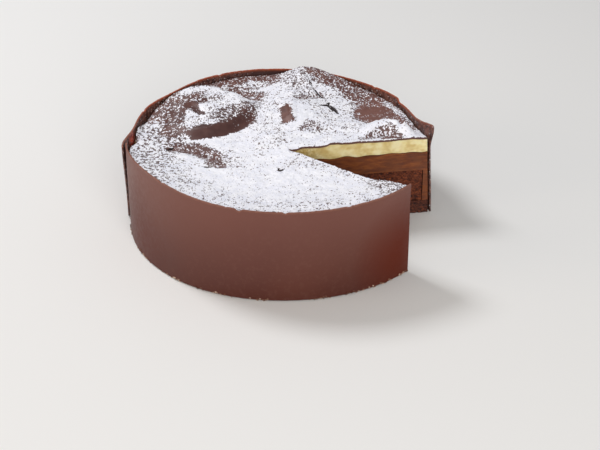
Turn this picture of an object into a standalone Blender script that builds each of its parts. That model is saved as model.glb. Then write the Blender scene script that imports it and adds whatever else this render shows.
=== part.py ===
"""A round chocolate cake in a dark chocolate collar, with a wedge cut out of its right side.

From the foot up it is a dark base sponge, a crumbly sponge inside a chocolate mousse, a pale
cream layer and a thin chocolate sheet that lies in folds. Two bands of chocolate stand round it.
Metres, +Z up. The origin is the middle of the flat underside, and -Y is the front.
"""

import math

import bpy
import numpy as np
from mathutils import noise

MM = 0.001

# Driving dimensions of the whole cake
WALL_HEIGHT = 60 * MM
COLLAR_THICKNESS = 1.8 * MM
GAP = 0.3 * MM
APEX = (1.5 * MM, -12.6 * MM)
NOTCH_BACK_DEG = 6.5
NOTCH_FRONT_DEG = -39.5

# Layers, by the height of their upper face
BASE_TOP = 9 * MM
SPONGE_TOP = 31 * MM
MOUSSE_TOP = 44 * MM
SPONGE_RADIUS = 85.5 * MM
SHEET_THICKNESS = 1.3 * MM
SHEET_LEVEL = 53 * MM

# The mousse was spread by hand: two crossed swells and a slanted one
SWELL = 0.6 * MM
SLANTED_SWELL = 0.3 * MM
SWELL_LENGTHS = (22 * MM, 28 * MM)
SLANTED_LENGTHS = (13 * MM, -22 * MM)
SWELL_PHASE = 0.4

# Round the cake, as (degrees anticlockwise from +X, value): the collar's outer radius at its
# foot and at wall height, the height of its upper edge, and the height of the sheet beside it
FOOT_RADIUS = [(-3, 92 * MM), (14, 93 * MM), (35, 96 * MM), (62, 99.5 * MM), (90, 100 * MM),
               (150, 100 * MM), (210, 100 * MM), (270, 99.5 * MM), (318, 100 * MM)]
TOP_RADIUS = [(-3, 90 * MM), (14, 85.5 * MM), (35, 88.7 * MM), (60, 90.6 * MM), (90, 93.3 * MM),
              (125, 94 * MM), (142, 94.2 * MM), (156, 96 * MM), (165, 95.4 * MM), (174, 94.8 * MM),
              (182, 96.2 * MM), (190, 98.6 * MM), (200, 97.9 * MM), (212, 96.9 * MM),
              (225, 97.1 * MM), (250, 98.8 * MM), (290, 100.8 * MM), (318, 100.6 * MM)]
RIM_HEIGHT = [(-3, 61.8 * MM), (9, 57.5 * MM), (18, 55 * MM), (33, 54.6 * MM), (48, 55.5 * MM),
              (67, 57 * MM), (90, 58.5 * MM), (123, 60.5 * MM), (143, 59.5 * MM), (168, 60 * MM),
              (188, 60.5 * MM), (216, 61.3 * MM), (250, 60.2 * MM), (290, 59.5 * MM),
              (318, 60.2 * MM)]
SHEET_EDGE = [(-3, 53.2 * MM), (20, 50.5 * MM), (50, 52.5 * MM), (75, 54.6 * MM), (100, 55.8 * MM),
              (125, 56.3 * MM), (143, 57 * MM), (162, 54.4 * MM), (185, 55 * MM), (215, 57 * MM),
              (250, 57 * MM), (290, 57.2 * MM), (318, 58.4 * MM)]
SHEET_EDGE_WIDTH = 38 * MM

# The collar is two bands: at the left the back one laps over the front one. Their ends slant,
# from the first angle at the foot to the second at wall height
FRONT_BAND_START = (172, 188)
BACK_BAND_END = (180, 190.5)
LAP_EASE_DEG = 12
LAP_LIFT = 0.2 * MM
CURL = {-3.0: 2.4 * MM, 318.0: 0.2 * MM}
CURL_FROM = 46 * MM
CURL_WIDTH_DEG = 7
COLLAR_FOOT = 0.5 * MM

# Folds of the sheet, in millimetres of the plan. Each rises to the left of its foot line: a
# steep face takes the share face of the height over the width rise, at its start and from its
# middle on. A gentle back climbs on to the crest line, and the far side is over after reach.
# The fold fades over the two shares ends.
FOLDS = [
    dict(name="hood", foot=[(-100, 8), (-76, 6), (-55, 1), (-38, 6), (-25, 18), (-11, 37)],
         crest=[(-104, 44), (-76, 50), (-57, 59), (-43, 57), (-31, 51), (-18, 46), (-5, 42)],
         height=6.9, face=0.72, rise=(34, 8), reach=13, ends=(0.6, 0.17)),
    dict(name="step", foot=[(-2, 54), (-5, 40), (-4, 24), (1, 6)],
         crest=[(15, 56), (12, 40), (12, 24), (16, 6)],
         height=3.2, face=0.85, rise=(7, 7), reach=30, ends=(0.35, 0.35)),
    dict(name="right_hump", foot=[(44, -3), (57, 3), (70, -1), (83, -7)],
         crest=[(46, 7), (58, 13), (69, 11), (82, 1)],
         height=5.6, face=0.7, rise=(7, 7), reach=9, ends=(0.3, 0.28)),
]

# Ridges and troughs: (height at the start, at the end) over a line, with a width to each side
RIDGES = [
    dict(name="spine", line=[(-12, -34), (-11, 0), (-9, 30), (-3, 56), (7, 74), (17, 94)],
         heights=(0.2, 7.4), left=22, right=46, ends=(0.2, 0.02)),
    dict(name="peak", line=[(8, 70), (15, 84), (20, 98)],
         heights=(0.0, 1.2), left=10, right=18, ends=(0.4, 0.01)),
    dict(name="hood_back", line=[(-60, 71), (-72, 59), (-80, 48), (-86, 36)],
         heights=(-2.2, -1.0), left=15, right=12, ends=(0.3, 0.3)),
    dict(name="left_trough", line=[(-80, 0), (-58, -11), (-42, -22), (-30, -34)],
         heights=(-1.6, -1.6), left=12, right=9, ends=(0.3, 0.3)),
    dict(name="back_trough", line=[(62, 66), (52, 44), (50, 26), (60, 14)],
         heights=(-1.2, -1.6), left=16, right=12, ends=(0.3, 0.3)),
    dict(name="cut_lift", line=[(20, -13), (36, -10.5), (54, -8), (72, -6), (92, -3.5)],
         heights=(1.9, 1.1), left=10, right=10, ends=(0.16, 0.01)),
]

# Torn crumb on the cut faces of the sponges
CRUMB_STEP = 3.2 * MM
CRUMB_RELIEF = 0.7 * MM
CRUMB_CONTRAST = 1.2
CRUMB_SEED = 3.7

# Mesh steps
TURN_STEPS = 76
TOP_RINGS = 15
SPREAD_RINGS = 7
FLAT_RINGS = 1
BACK_BAND_STEPS = 56
FRONT_BAND_STEPS = 42
BAND_LEVELS = 5
LINE_SAMPLES = 48
REACH_PASSES = 20
CLIMB_LEAST = 0.1 * MM
COLLAR_CREASE_DEG = 40

COLOURS = {
    "dark_chocolate": ((0.075, 0.030, 0.022), 0.38),
    "base_sponge": ((0.055, 0.022, 0.014), 0.9),
    "sponge": ((0.130, 0.040, 0.016), 0.9),
    "mousse": ((0.190, 0.075, 0.030), 0.6),
    "cream": ((0.760, 0.680, 0.370), 0.5),
    "sugared_sheet": ((0.720, 0.720, 0.760), 0.8),
}


def clear_scene():
    for obj in list(bpy.data.objects):
        bpy.data.objects.remove(obj, do_unlink=True)


def smooth(t):
    t = np.clip(t, 0.0, 1.0)
    return t * t * (3.0 - 2.0 * t)


def around(degrees, stations):
    """The value at an angle, on a smooth curve through the stations, which close into a ring."""
    angles, values = np.array(stations, float).T
    turn = (degrees - angles[0]) % 360 + angles[0]
    angles = np.concatenate([[angles[-1] - 360], angles, angles[:2] + 360])
    values = np.concatenate([[values[-1]], values, values[:2]])
    slopes = (values[2:] - values[:-2]) / (angles[2:] - angles[:-2])
    angles, values = angles[1:-1], values[1:-1]
    slot = np.clip(np.searchsorted(angles, turn, side="right") - 1, 0, len(angles) - 2)
    span = angles[slot + 1] - angles[slot]
    t = (turn - angles[slot]) / span
    blend = smooth(t)
    value = values[slot] * (1 - blend) + values[slot + 1] * blend
    return value + span * t * (1 - t) * (slopes[slot] * (1 - t) - slopes[slot + 1] * t)


def curl(degrees, z):
    """How far the collar's upper edge turns outwards beside the two cuts."""
    out = np.zeros_like(degrees)
    for cut_at, most in CURL.items():
        away = np.abs((degrees - cut_at + 180.0) % 360.0 - 180.0)
        out = out + most * np.exp(-((away / CURL_WIDTH_DEG) ** 2))
    return out * smooth((z - CURL_FROM) / (WALL_HEIGHT - CURL_FROM))


def wall_radius(degrees, z):
    """The outer radius of the collar, straight from its foot to its upper edge."""
    foot = around(degrees, FOOT_RADIUS)
    return foot + (around(degrees, TOP_RADIUS) - foot) * z / WALL_HEIGHT


def curve_points(points):
    """Samples of a smooth curve through the points, in metres."""
    p = np.array(points, float) * MM
    p = np.vstack([2 * p[0] - p[1], p, 2 * p[-1] - p[-2]])
    spans = len(p) - 3
    out = []
    for t in np.linspace(0, spans, LINE_SAMPLES):
        i = min(int(t), spans - 1)
        u = t - i
        a, b, c, d = p[i:i + 4]
        out.append(0.5 * (2 * b + (c - a) * u + (2 * a - 5 * b + 4 * c - d) * u * u
                          + (3 * b - a - 3 * c + d) * u ** 3))
    return np.array(out)


def across(x, y, line):
    """How far each point lies to the left of a line, less than 0 to its right."""
    start, step = line[:-1], np.diff(line, axis=0)
    gx = x[..., None] - start[:, 0]
    gy = y[..., None] - start[:, 1]
    along = np.clip((gx * step[:, 0] + gy * step[:, 1]) / (step ** 2).sum(1), 0, 1)
    dx = gx - along * step[:, 0]
    dy = gy - along * step[:, 1]
    nearest = np.argmin(dx * dx + dy * dy, axis=-1)
    dx = np.take_along_axis(dx, nearest[..., None], -1)[..., 0]
    dy = np.take_along_axis(dy, nearest[..., None], -1)[..., 0]
    side = np.sign(step[nearest, 0] * dy - step[nearest, 1] * dx)
    return side * np.hypot(dx, dy)


def fade(x, y, points, ends):
    """The share of the way from end to end, and 1 along the line but 0 past its ends."""
    (x0, y0), (x1, y1) = np.array([points[0], points[-1]]) * MM
    t = ((x - x0) * (x1 - x0) + (y - y0) * (y1 - y0)) / ((x1 - x0) ** 2 + (y1 - y0) ** 2)
    return t, smooth(t / ends[0]) * smooth((1.0 - t) / ends[1])


def fold_height(x, y, fold):
    foot = across(x, y, curve_points(fold["foot"]))
    crest = across(x, y, curve_points(fold["crest"]))
    climb = np.clip(foot / np.maximum(foot - crest, CLIMB_LEAST), 0, 1)
    t, ends = fade(x, y, fold["foot"], fold["ends"])
    wide, narrow = fold["rise"]
    rise = (wide + (narrow - wide) * smooth(t * 2)) * MM
    up = fold["face"] * smooth(foot / rise)
    up = up + (1 - fold["face"]) * np.sin(climb * math.pi / 2) * (foot > 0)
    down = 1.0 - smooth(crest / (fold["reach"] * MM))
    return fold["height"] * MM * up * down * ends


def ridge_height(x, y, ridge):
    left = across(x, y, curve_points(ridge["line"]))
    width = np.where(left > 0, ridge["left"], ridge["right"]) * MM
    t, ends = fade(x, y, ridge["line"], ridge["ends"])
    low, high = ridge["heights"]
    height = (low + (high - low) * np.clip(t, 0, 1)) * MM
    return height * (1.0 - smooth(np.abs(left) / width)) * ends


def sheet_top(x, y):
    """The height of the folded sheet's upper face at each point of the plan."""
    radius = np.hypot(x, y)
    degrees = np.degrees(np.arctan2(y, x))
    edge = around(degrees, SHEET_EDGE)
    rim = wall_radius(degrees, WALL_HEIGHT)
    z = SHEET_LEVEL + (edge - SHEET_LEVEL) * smooth((radius - rim) / SHEET_EDGE_WIDTH + 1.0)
    for fold in FOLDS:
        z = z + fold_height(x, y, fold)
    for ridge in RIDGES:
        z = z + ridge_height(x, y, ridge)
    return z


def spread(level):
    """A face at about this height, spread by hand."""
    def height(x, y):
        along, over = (2 * math.pi / length for length in SWELL_LENGTHS)
        slant = 2 * math.pi * (x / SLANTED_LENGTHS[0] + y / SLANTED_LENGTHS[1])
        crossed = np.sin(along * x + SWELL_PHASE) * np.cos(over * y - SWELL_PHASE)
        return level + SWELL * crossed + SLANTED_SWELL * np.sin(slant)
    return height


def flat(level):
    return lambda x, y: np.full_like(x, level)


def fill_reach(turns, height, radius_at):
    """How far from the apex each ray meets the wall, for a face at this height of the plan."""
    ux, uy = np.cos(turns), np.sin(turns)
    reach = np.full_like(turns, SPONGE_RADIUS)
    middle = APEX[0] * ux + APEX[1] * uy
    for _ in range(REACH_PASSES):
        x, y = APEX[0] + reach * ux, APEX[1] + reach * uy
        wall = radius_at(np.degrees(np.arctan2(y, x)), height(x, y))
        reach = -middle + np.sqrt(middle ** 2 - APEX[0] ** 2 - APEX[1] ** 2 + wall ** 2)
    return reach


def inside_collar(degrees, z):
    return wall_radius(degrees, z) - COLLAR_THICKNESS - GAP


def inside_mousse(degrees, z):
    return np.full_like(degrees, SPONGE_RADIUS)


def notch_turns():
    """The rays about the apex, from the notch's back face anticlockwise to its front face."""
    return np.radians(np.linspace(NOTCH_BACK_DEG, 360 + NOTCH_FRONT_DEG, TURN_STEPS + 1))


def fan_points(height, rings, wall_height):
    """Points [ring][turn] = (x, y, z) of a face that fans out from the apex to the wall."""
    turns = notch_turns()
    reach = fill_reach(turns, wall_height, inside_collar)
    share = (np.arange(1, rings + 1) / rings)[:, None]
    x = APEX[0] + share * reach * np.cos(turns)
    y = APEX[1] + share * reach * np.sin(turns)
    return np.stack([x, y, height(x, y)], -1)


def add_object(name, verts, faces, material, smooth_angle=None):
    mesh = bpy.data.meshes.new(name)
    mesh.from_pydata([tuple(map(float, v)) for v in verts], [], faces)
    mesh.validate()
    mesh.update()
    if smooth_angle is not None:
        mesh.shade_smooth()
        mesh.set_sharp_from_angle(angle=math.radians(smooth_angle))
    obj = bpy.data.objects.new(name, mesh)
    bpy.context.scene.collection.objects.link(obj)
    mesh.materials.append(material)
    return obj


def fan_faces(height, rings, first, apex, upward):
    """Faces of a fan whose ring 1 starts at vertex first, split along the more level diagonal.

    The diagonals are judged on one plan for all fans, so two faces that touch are split alike.
    """
    width = TURN_STEPS + 1
    z = fan_points(height, rings, flat(SHEET_LEVEL))[..., 2]
    faces = []
    for j in range(TURN_STEPS):
        faces.append([apex, first + j, first + j + 1])
        for i in range(rings - 1):
            a = first + i * width + j
            near, out, far, side = a, a + width, a + width + 1, a + 1
            if abs(z[i, j] - z[i + 1, j + 1]) <= abs(z[i + 1, j] - z[i, j + 1]):
                faces += [[near, out, far], [near, far, side]]
            else:
                faces += [[near, out, side], [out, far, side]]
    return faces if upward else [f[::-1] for f in faces]


def apex_point(height):
    x, y = np.array([APEX[0]]), np.array([APEX[1]])
    return (APEX[0], APEX[1], height(x, y)[0])


def layer(name, material, bottom, top, bottom_rings, top_rings):
    """A closed layer of the cut cake between two faces that both fan out from the apex."""
    low = fan_points(bottom, bottom_rings, bottom)
    high = fan_points(top, top_rings, top)
    width = TURN_STEPS + 1
    verts = [apex_point(bottom), apex_point(top), *low.reshape(-1, 3), *high.reshape(-1, 3)]
    low_first = 2
    high_first = 2 + bottom_rings * width
    faces = fan_faces(bottom, bottom_rings, low_first, 0, False)
    faces += fan_faces(top, top_rings, high_first, 1, True)
    low_rim = low_first + (bottom_rings - 1) * width
    high_rim = high_first + (top_rings - 1) * width
    for j in range(TURN_STEPS):
        faces.append([low_rim + j, low_rim + j + 1, high_rim + j + 1, high_rim + j])
    for j, turned in ((0, False), (TURN_STEPS, True)):
        lower = [0] + [low_first + i * width + j for i in range(bottom_rings)]
        upper = [1] + [high_first + i * width + j for i in range(top_rings)]
        cut = lower + upper[::-1]
        faces.append(cut[::-1] if turned else cut)
    return add_object(name, verts, faces, material)


def crumb(point, normal):
    """A point of a cut face, set back by the coarse relief of torn crumb."""
    x, y, z = (value / CRUMB_STEP for value in point)
    depth = 0.5 + CRUMB_CONTRAST * noise.noise((x, y, z + CRUMB_SEED))
    depth = CRUMB_RELIEF * min(1.0, max(0.0, depth))
    return (point[0] - depth * normal[0], point[1] - depth * normal[1], point[2])


def ray_point(turn, reach, z):
    return (APEX[0] + reach * math.cos(turn), APEX[1] + reach * math.sin(turn), z)


def rough_layer(name, material, bottom_z, top_z, radius_at):
    """A flat layer of sponge whose two cut faces carry the relief of crumb."""
    turns = notch_turns()
    levels = round((top_z - bottom_z) / CRUMB_STEP)
    heights = np.linspace(bottom_z, top_z, levels + 1)
    rim = np.array([fill_reach(turns, flat(z), radius_at) for z in heights])
    steps = round(rim[0, 0] / CRUMB_STEP)
    verts = []

    def put(point):
        verts.append(point)
        return len(verts) - 1

    wall = [[put(ray_point(t, rim[k, j], z)) for j, t in enumerate(turns)]
            for k, z in enumerate(heights)]
    apex = [put((*APEX, z)) for z in heights]
    back, front = turns[0], turns[-1]
    # Each normal points out of the sponge into the notch
    cuts = [(back, (math.sin(back), -math.cos(back)), 0),
            (front, (-math.sin(front), math.cos(front)), TURN_STEPS)]
    grids = []
    for turn, normal, column in cuts:
        grid = []
        for k, z in enumerate(heights):
            reaches = rim[k, column] * np.arange(1, steps) / steps
            row = [put(crumb(ray_point(turn, reach, z), normal)) for reach in reaches]
            grid.append([apex[k], *row, wall[k][column]])
        grids.append(grid)
    return add_object(name, verts, rough_faces(wall, apex, grids), material)


def rough_faces(wall, apex, grids):
    """Faces of a rough layer: its wall, its two cut faces and its flat top and bottom."""
    faces = []
    top = len(wall) - 1
    for k in range(top):
        for j in range(TURN_STEPS):
            faces.append([wall[k][j], wall[k][j + 1], wall[k + 1][j + 1], wall[k + 1][j]])
        for grid, turned in zip(grids, (False, True)):
            for i in range(len(grid[k]) - 1):
                quad = [grid[k][i], grid[k][i + 1], grid[k + 1][i + 1], grid[k + 1][i]]
                faces.append(quad[::-1] if turned else quad)
    for k, turned in ((0, True), (top, False)):
        faces += cap_faces(apex[k], grids[0][k], grids[1][k], wall[k], turned)
    return faces


def cap_faces(apex, back, front, wall, turned):
    """A flat cap of a rough layer, in two halves that meet opposite the notch."""
    middle = len(wall) // 2
    faces = [[*back, *wall[1:middle + 1]], [apex, *wall[middle:-1], *front[:0:-1]]]
    return [f[::-1] for f in faces] if turned else faces


def mousse(material):
    """The mousse: a cup upside down over the sponge."""
    body = layer("mousse", material, flat(BASE_TOP + GAP), spread(MOUSSE_TOP), FLAT_RINGS, SPREAD_RINGS)
    cut(body, sponge_hollow(material))


def sponge_hollow(material):
    """The space that the sponge takes inside the mousse, as a cutter that runs past the notch."""
    steps = TURN_STEPS
    radius = SPONGE_RADIUS + GAP
    angles = [2 * math.pi * i / steps for i in range(steps)]
    verts = [(radius * math.cos(angle), radius * math.sin(angle), z)
             for z in (BASE_TOP - GAP, SPONGE_TOP + GAP) for angle in angles]
    faces = [[i, (i + 1) % steps, steps + (i + 1) % steps, steps + i] for i in range(steps)]
    faces += [list(range(steps))[::-1], list(range(steps, 2 * steps))]
    cutter = add_object("sponge_hollow", verts, faces, material)
    cutter.hide_render = True
    cutter.display_type = "WIRE"
    return cutter


def cut(obj, cutter):
    modifier = obj.modifiers.new("hollow", "BOOLEAN")
    modifier.operation = "DIFFERENCE"
    modifier.object = cutter


def slanted(ends, level):
    return ends[0] + (ends[1] - ends[0]) * level


def lap(degrees, z):
    """How far the back band stands off where it laps over the front one, most at the top."""
    level = z / WALL_HEIGHT
    start, end = slanted(FRONT_BAND_START, level), slanted(BACK_BAND_END, level)
    over = smooth((degrees - start) / LAP_EASE_DEG + 1)
    loose = smooth((degrees - start) / (end - start)) * level
    return over * (COLLAR_THICKNESS + GAP) + loose * LAP_LIFT


def band(name, material, starts, ends, over, steps):
    """One band of the collar, anticlockwise between ends given at the foot and at the top."""
    verts = []
    levels = BAND_LEVELS
    for thickness in (0.0, COLLAR_THICKNESS):
        for level in np.linspace(0, 1, levels + 1):
            turns = np.linspace(slanted(starts, level), slanted(ends, level), steps + 1)
            z = COLLAR_FOOT + (around(turns, RIM_HEIGHT) - COLLAR_FOOT) * level
            radius = wall_radius(turns, z) + curl(turns, z) - thickness
            if over:
                radius = radius + lap(turns, z)
            angle = np.radians(turns)
            verts += list(zip(radius * np.cos(angle), radius * np.sin(angle), z))
    width = steps + 1
    inner = (levels + 1) * width
    faces = []
    for k in range(levels):
        for j in range(steps):
            a = k * width + j
            faces.append([a, a + 1, a + width + 1, a + width])
            b = inner + a
            faces.append([b, b + width, b + width + 1, b + 1])
        for j, turned in ((0, False), (steps, True)):
            a = k * width + j
            end_face = [a, a + width, inner + a + width, inner + a]
            faces.append(end_face[::-1] if turned else end_face)
    for j in range(steps):
        faces.append([j, inner + j, inner + j + 1, j + 1])
        top = levels * width + j
        faces.append([top, top + 1, inner + top + 1, inner + top])
    return add_object(name, verts, faces, material, smooth_angle=COLLAR_CREASE_DEG)


def cut_degrees(notch_deg):
    """The angle about the cake's axis at which a face of the notch meets the collar's foot."""
    turn = np.radians([float(notch_deg)])
    x, y, _ = ray_point(turn[0], fill_reach(turn, flat(0.0), wall_radius)[0], 0.0)
    return math.degrees(math.atan2(y, x))


def base_sponge(material):
    rough_layer("base_sponge", material, 0.0, BASE_TOP, inside_collar)


def sponge(material):
    rough_layer("sponge", material, BASE_TOP + GAP, SPONGE_TOP, inside_mousse)


def under_sheet(x, y):
    return sheet_top(x, y) - SHEET_THICKNESS


def cream_top(x, y):
    return under_sheet(x, y) - GAP


def cream(material):
    layer("cream", material, spread(MOUSSE_TOP + GAP), cream_top, SPREAD_RINGS, TOP_RINGS)


def top_sheet(material):
    layer("top_sheet", material, under_sheet, sheet_top, TOP_RINGS, TOP_RINGS)


def collar_back(material):
    cut_end = cut_degrees(NOTCH_BACK_DEG)
    band("collar_back", material, (cut_end, cut_end), BACK_BAND_END, True, BACK_BAND_STEPS)


def collar_front(material):
    cut_end = 360 + cut_degrees(NOTCH_FRONT_DEG)
    band("collar_front", material, FRONT_BAND_START, (cut_end, cut_end), False, FRONT_BAND_STEPS)


def make_material(name):
    colour, roughness = COLOURS[name]
    material = bpy.data.materials.new(name)
    material.use_nodes = True
    shader = material.node_tree.nodes["Principled BSDF"]
    shader.inputs["Base Color"].default_value = (*colour, 1)
    shader.inputs["Roughness"].default_value = roughness
    shader.inputs["Metallic"].default_value = 0.0
    material.diffuse_color = (*colour, 1)
    return material


def main():
    clear_scene()
    materials = {name: make_material(name) for name in COLOURS}
    base_sponge(materials["base_sponge"])
    sponge(materials["sponge"])
    mousse(materials["mousse"])
    cream(materials["cream"])
    top_sheet(materials["sugared_sheet"])
    collar_back(materials["dark_chocolate"])
    collar_front(materials["dark_chocolate"])


main()
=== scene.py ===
import math

import bmesh
import bpy
import numpy as np
from mathutils import Matrix, Vector


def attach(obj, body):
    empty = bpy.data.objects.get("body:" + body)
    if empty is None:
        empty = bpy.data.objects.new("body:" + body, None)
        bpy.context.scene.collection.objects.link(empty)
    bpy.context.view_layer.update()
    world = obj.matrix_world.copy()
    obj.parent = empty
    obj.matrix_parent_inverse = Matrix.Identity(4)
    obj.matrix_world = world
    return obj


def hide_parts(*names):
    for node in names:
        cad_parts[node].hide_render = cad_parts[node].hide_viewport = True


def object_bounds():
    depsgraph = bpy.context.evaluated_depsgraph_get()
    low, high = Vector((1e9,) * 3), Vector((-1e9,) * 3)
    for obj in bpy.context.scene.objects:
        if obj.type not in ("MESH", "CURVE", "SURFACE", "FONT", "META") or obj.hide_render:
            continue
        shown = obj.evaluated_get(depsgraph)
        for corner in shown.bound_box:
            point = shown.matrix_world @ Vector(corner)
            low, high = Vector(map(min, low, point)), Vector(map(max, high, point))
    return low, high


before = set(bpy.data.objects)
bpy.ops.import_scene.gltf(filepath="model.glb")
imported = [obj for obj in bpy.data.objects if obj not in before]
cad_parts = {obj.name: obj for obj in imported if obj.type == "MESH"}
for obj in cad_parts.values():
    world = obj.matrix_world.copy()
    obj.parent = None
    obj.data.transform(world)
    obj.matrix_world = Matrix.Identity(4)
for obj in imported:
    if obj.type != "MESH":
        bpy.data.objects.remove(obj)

MM = 0.001
CAD_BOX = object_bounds()

# The cake's own sizes, as in its source
WALL_HEIGHT = 60 * MM
COLLAR_THICKNESS = 1.8 * MM
GAP = 0.3 * MM
APEX = (1.5 * MM, -12.6 * MM)
NOTCH_BACK_DEG = 6.5
NOTCH_FRONT_DEG = -39.5
BASE_TOP = 9 * MM
SPONGE_TOP = 31 * MM
MOUSSE_TOP = 44 * MM
SPONGE_RADIUS = 85.5 * MM
SHEET_THICKNESS = 1.3 * MM
SHEET_LEVEL = 53 * MM
SWELL = 0.6 * MM
SLANTED_SWELL = 0.3 * MM
SWELL_LENGTHS = (22 * MM, 28 * MM)
SLANTED_LENGTHS = (13 * MM, -22 * MM)
SWELL_PHASE = 0.4
# By the angle in degrees, in millimetres: the collar's outer radius at its foot and at its rim,
# the rim's height and the height of the sheet's edge
FOOT_RADIUS = [(-3, 92), (14, 93), (35, 96), (62, 99.5), (90, 100), (150, 100), (210, 100),
               (270, 99.5), (318, 100)]
TOP_RADIUS = [(-3, 90), (14, 85.5), (35, 88.7), (60, 90.6), (90, 93.3), (125, 94), (142, 94.2),
              (156, 96), (165, 95.4), (174, 94.8), (182, 96.2), (190, 98.6), (200, 97.9),
              (212, 96.9), (225, 97.1), (250, 98.8), (290, 100.8), (318, 100.6)]
RIM_HEIGHT = [(-3, 61.8), (9, 57.5), (18, 55), (33, 54.6), (48, 55.5), (67, 57), (90, 58.5),
              (123, 60.5), (143, 59.5), (168, 60), (188, 60.5), (216, 61.3), (250, 60.2),
              (290, 59.5), (318, 60.2)]
SHEET_EDGE = [(-3, 53.2), (20, 50.5), (50, 52.5), (75, 54.6), (100, 55.8), (125, 56.3),
              (143, 57), (162, 54.4), (185, 55), (215, 57), (250, 57), (290, 57.2), (318, 58.4)]
SHEET_EDGE_WIDTH = 38 * MM
FRONT_BAND_START = (172, 188)
BACK_BAND_END = (180, 190.5)
LAP_EASE_DEG = 12
LAP_LIFT = 0.2 * MM
CURL = {-3.0: 2.4 * MM, 318.0: 0.2 * MM}
CURL_FROM = 46 * MM
CURL_WIDTH_DEG = 7
COLLAR_FOOT = 0.5 * MM

# Folds of the sheet, in millimetres of the plan, as in the source
FOLDS = {
    "hood": dict(foot=[(-100, 8), (-76, 6), (-55, 1), (-38, 6), (-25, 18), (-11, 37)],
                 crest=[(-104, 44), (-76, 50), (-57, 59), (-43, 57), (-31, 51), (-18, 46), (-5, 42)],
                 height=6.9, face=0.72, rise=(34, 8), reach=13, ends=(0.6, 0.17)),
    "step": dict(foot=[(-2, 54), (-5, 40), (-4, 24), (1, 6)],
                 crest=[(15, 56), (12, 40), (12, 24), (16, 6)],
                 height=3.2, face=0.85, rise=(7, 7), reach=30, ends=(0.35, 0.35)),
    "right_hump": dict(foot=[(44, -3), (57, 3), (70, -1), (83, -7)],
                       crest=[(46, 7), (58, 13), (69, 11), (82, 1)],
                       height=5.6, face=0.7, rise=(7, 7), reach=9, ends=(0.3, 0.28)),
}
# Each ridge has a line, its heights from end to end, its reach to the left and to the right and,
# where they aren't the usual ones, the shares of the line over which its two ends fade
RIDGES = {
    "spine": ([(-12, -34), (-11, 0), (-9, 30), (-3, 56), (7, 74), (17, 94)], (0.2, 7.4), 22, 46,
              (0.2, 0.02)),
    "peak": ([(8, 70), (15, 84), (20, 98)], (0.0, 1.2), 10, 18, (0.4, 0.01)),
    "hood_back": ([(-60, 71), (-72, 59), (-80, 48), (-86, 36)], (-2.2, -1.0), 15, 12),
    "left_trough": ([(-80, 0), (-58, -11), (-42, -22), (-30, -34)], (-1.6, -1.6), 12, 9),
    "back_trough": ([(62, 66), (52, 44), (50, 26), (60, 14)], (-1.2, -1.6), 16, 12),
    "cut_lift": ([(20, -13), (36, -10.5), (54, -8), (72, -6), (92, -3.5)], (1.9, 1.1), 10, 10,
                 (0.16, 0.01)),
}

# Small creases and dents that only the looks carry, written like the ridges
CREASES = {
    "hood_dent": ([(-65, 40), (-57, 34), (-51, 26)], (-1.3, -1.6), 5, 5),
    "hood_dent_back": ([(-58, 39), (-52, 42.5), (-44, 47)], (-1.0, -1.0), 3, 4),
    "hood_pad": ([(-58, 18), (-46, 24), (-38, 30)], (0.9, 0.7), 7, 6, (0.4, 0.4)),
    "hood_left_dip": ([(-76, 18), (-71, 28), (-70, 40)], (-1.1, -1.0), 6, 5),
    "hood_brow": ([(-34, 24), (-26, 34), (-16, 40)], (0.8, 0.5), 5, 5),
    "left_pleat": ([(-94, -8), (-84, 8), (-78, 22)], (0.8, 0.9), 5, 5),
    "left_crease": ([(-88, -24), (-74, -12), (-66, -6)], (-0.7, -0.9), 4, 4),
    "spine_edge": ([(4.6, 62), (4.6, 40), (4.4, 12)], (0.9, 0.7), 4, 2.2, (0.2, 0.2)),
    "peak_ridge": ([(14, 86), (11, 80), (16, 69), (17, 62)], (0.8, 0.9), 2.5, 6, (0.2, 0.4)),
    "flank_dip": ([(8, 15), (15, 14), (22, 12)], (-0.6, -0.6), 5, 5, (0.4, 0.4)),
    "hump_crown": ([(57, 12), (64, 13.5), (70, 12.5), (74, 11)], (1.2, 1.6), 8, 7, (0.3, 0.2)),
    "hump_lump": ([(72, 9), (76.5, 5.5), (83, 0.5)], (2.2, 0.9), 4.5, 5, (0.2, 0.6)),
    "hump_valley": ([(71, 16), (71.8, 9), (71, 2)], (-1.6, -1.6), 2.6, 2.2, (0.25, 0.4)),
    "tip_dip": ([(1.5, -14), (6, -12.6), (11, -12)], (-2.0, -1.6), 4, 7, (0.1, 0.5)),
    "cut_wave": ([(25, -11), (30, -9), (35, -8)], (0.7, 0.7), 7, 6),
}
# Each tear has a line and its width, in millimetres
TEARS = {
    "long_tear": ([(22.5, 40), (26.4, 42.6), (29.6, 40.6), (34, 33.6)], 4.0),
    "long_tear_fork": ([(28.7, 47.7), (27.6, 44.5), (27.1, 42)], 1.9),
    "back_tear": ([(18.4, 64.5), (21.8, 57.3), (26.8, 50.8)], 1.3),
    "peak_tear": ([(16, 73), (16.6, 69), (18.4, 64.5)], 0.7),
    "side_tear": ([(8.3, 44.2), (11, 46.2), (13.5, 46.4)], 1.0),
    "small_tear": ([(-4.8, -35.8), (-3.1, -39.6), (-0.4, -37.2)], 1.6),
    "left_tear": ([(-50, -32.2), (-47, -33.6), (-43.5, -33.6)], 1.2),
    "shoulder_tear": ([(-73.4, -9.4), (-71.6, -8.4), (-69, -5.4)], 2.0),
    "left_nick": ([(-64.1, -23), (-62, -24.6), (-60.4, -25.2)], 1.0),
}
TEAR_DEPTH = 1.1 * MM
LEAST_STEP = 0.1 * MM

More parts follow.
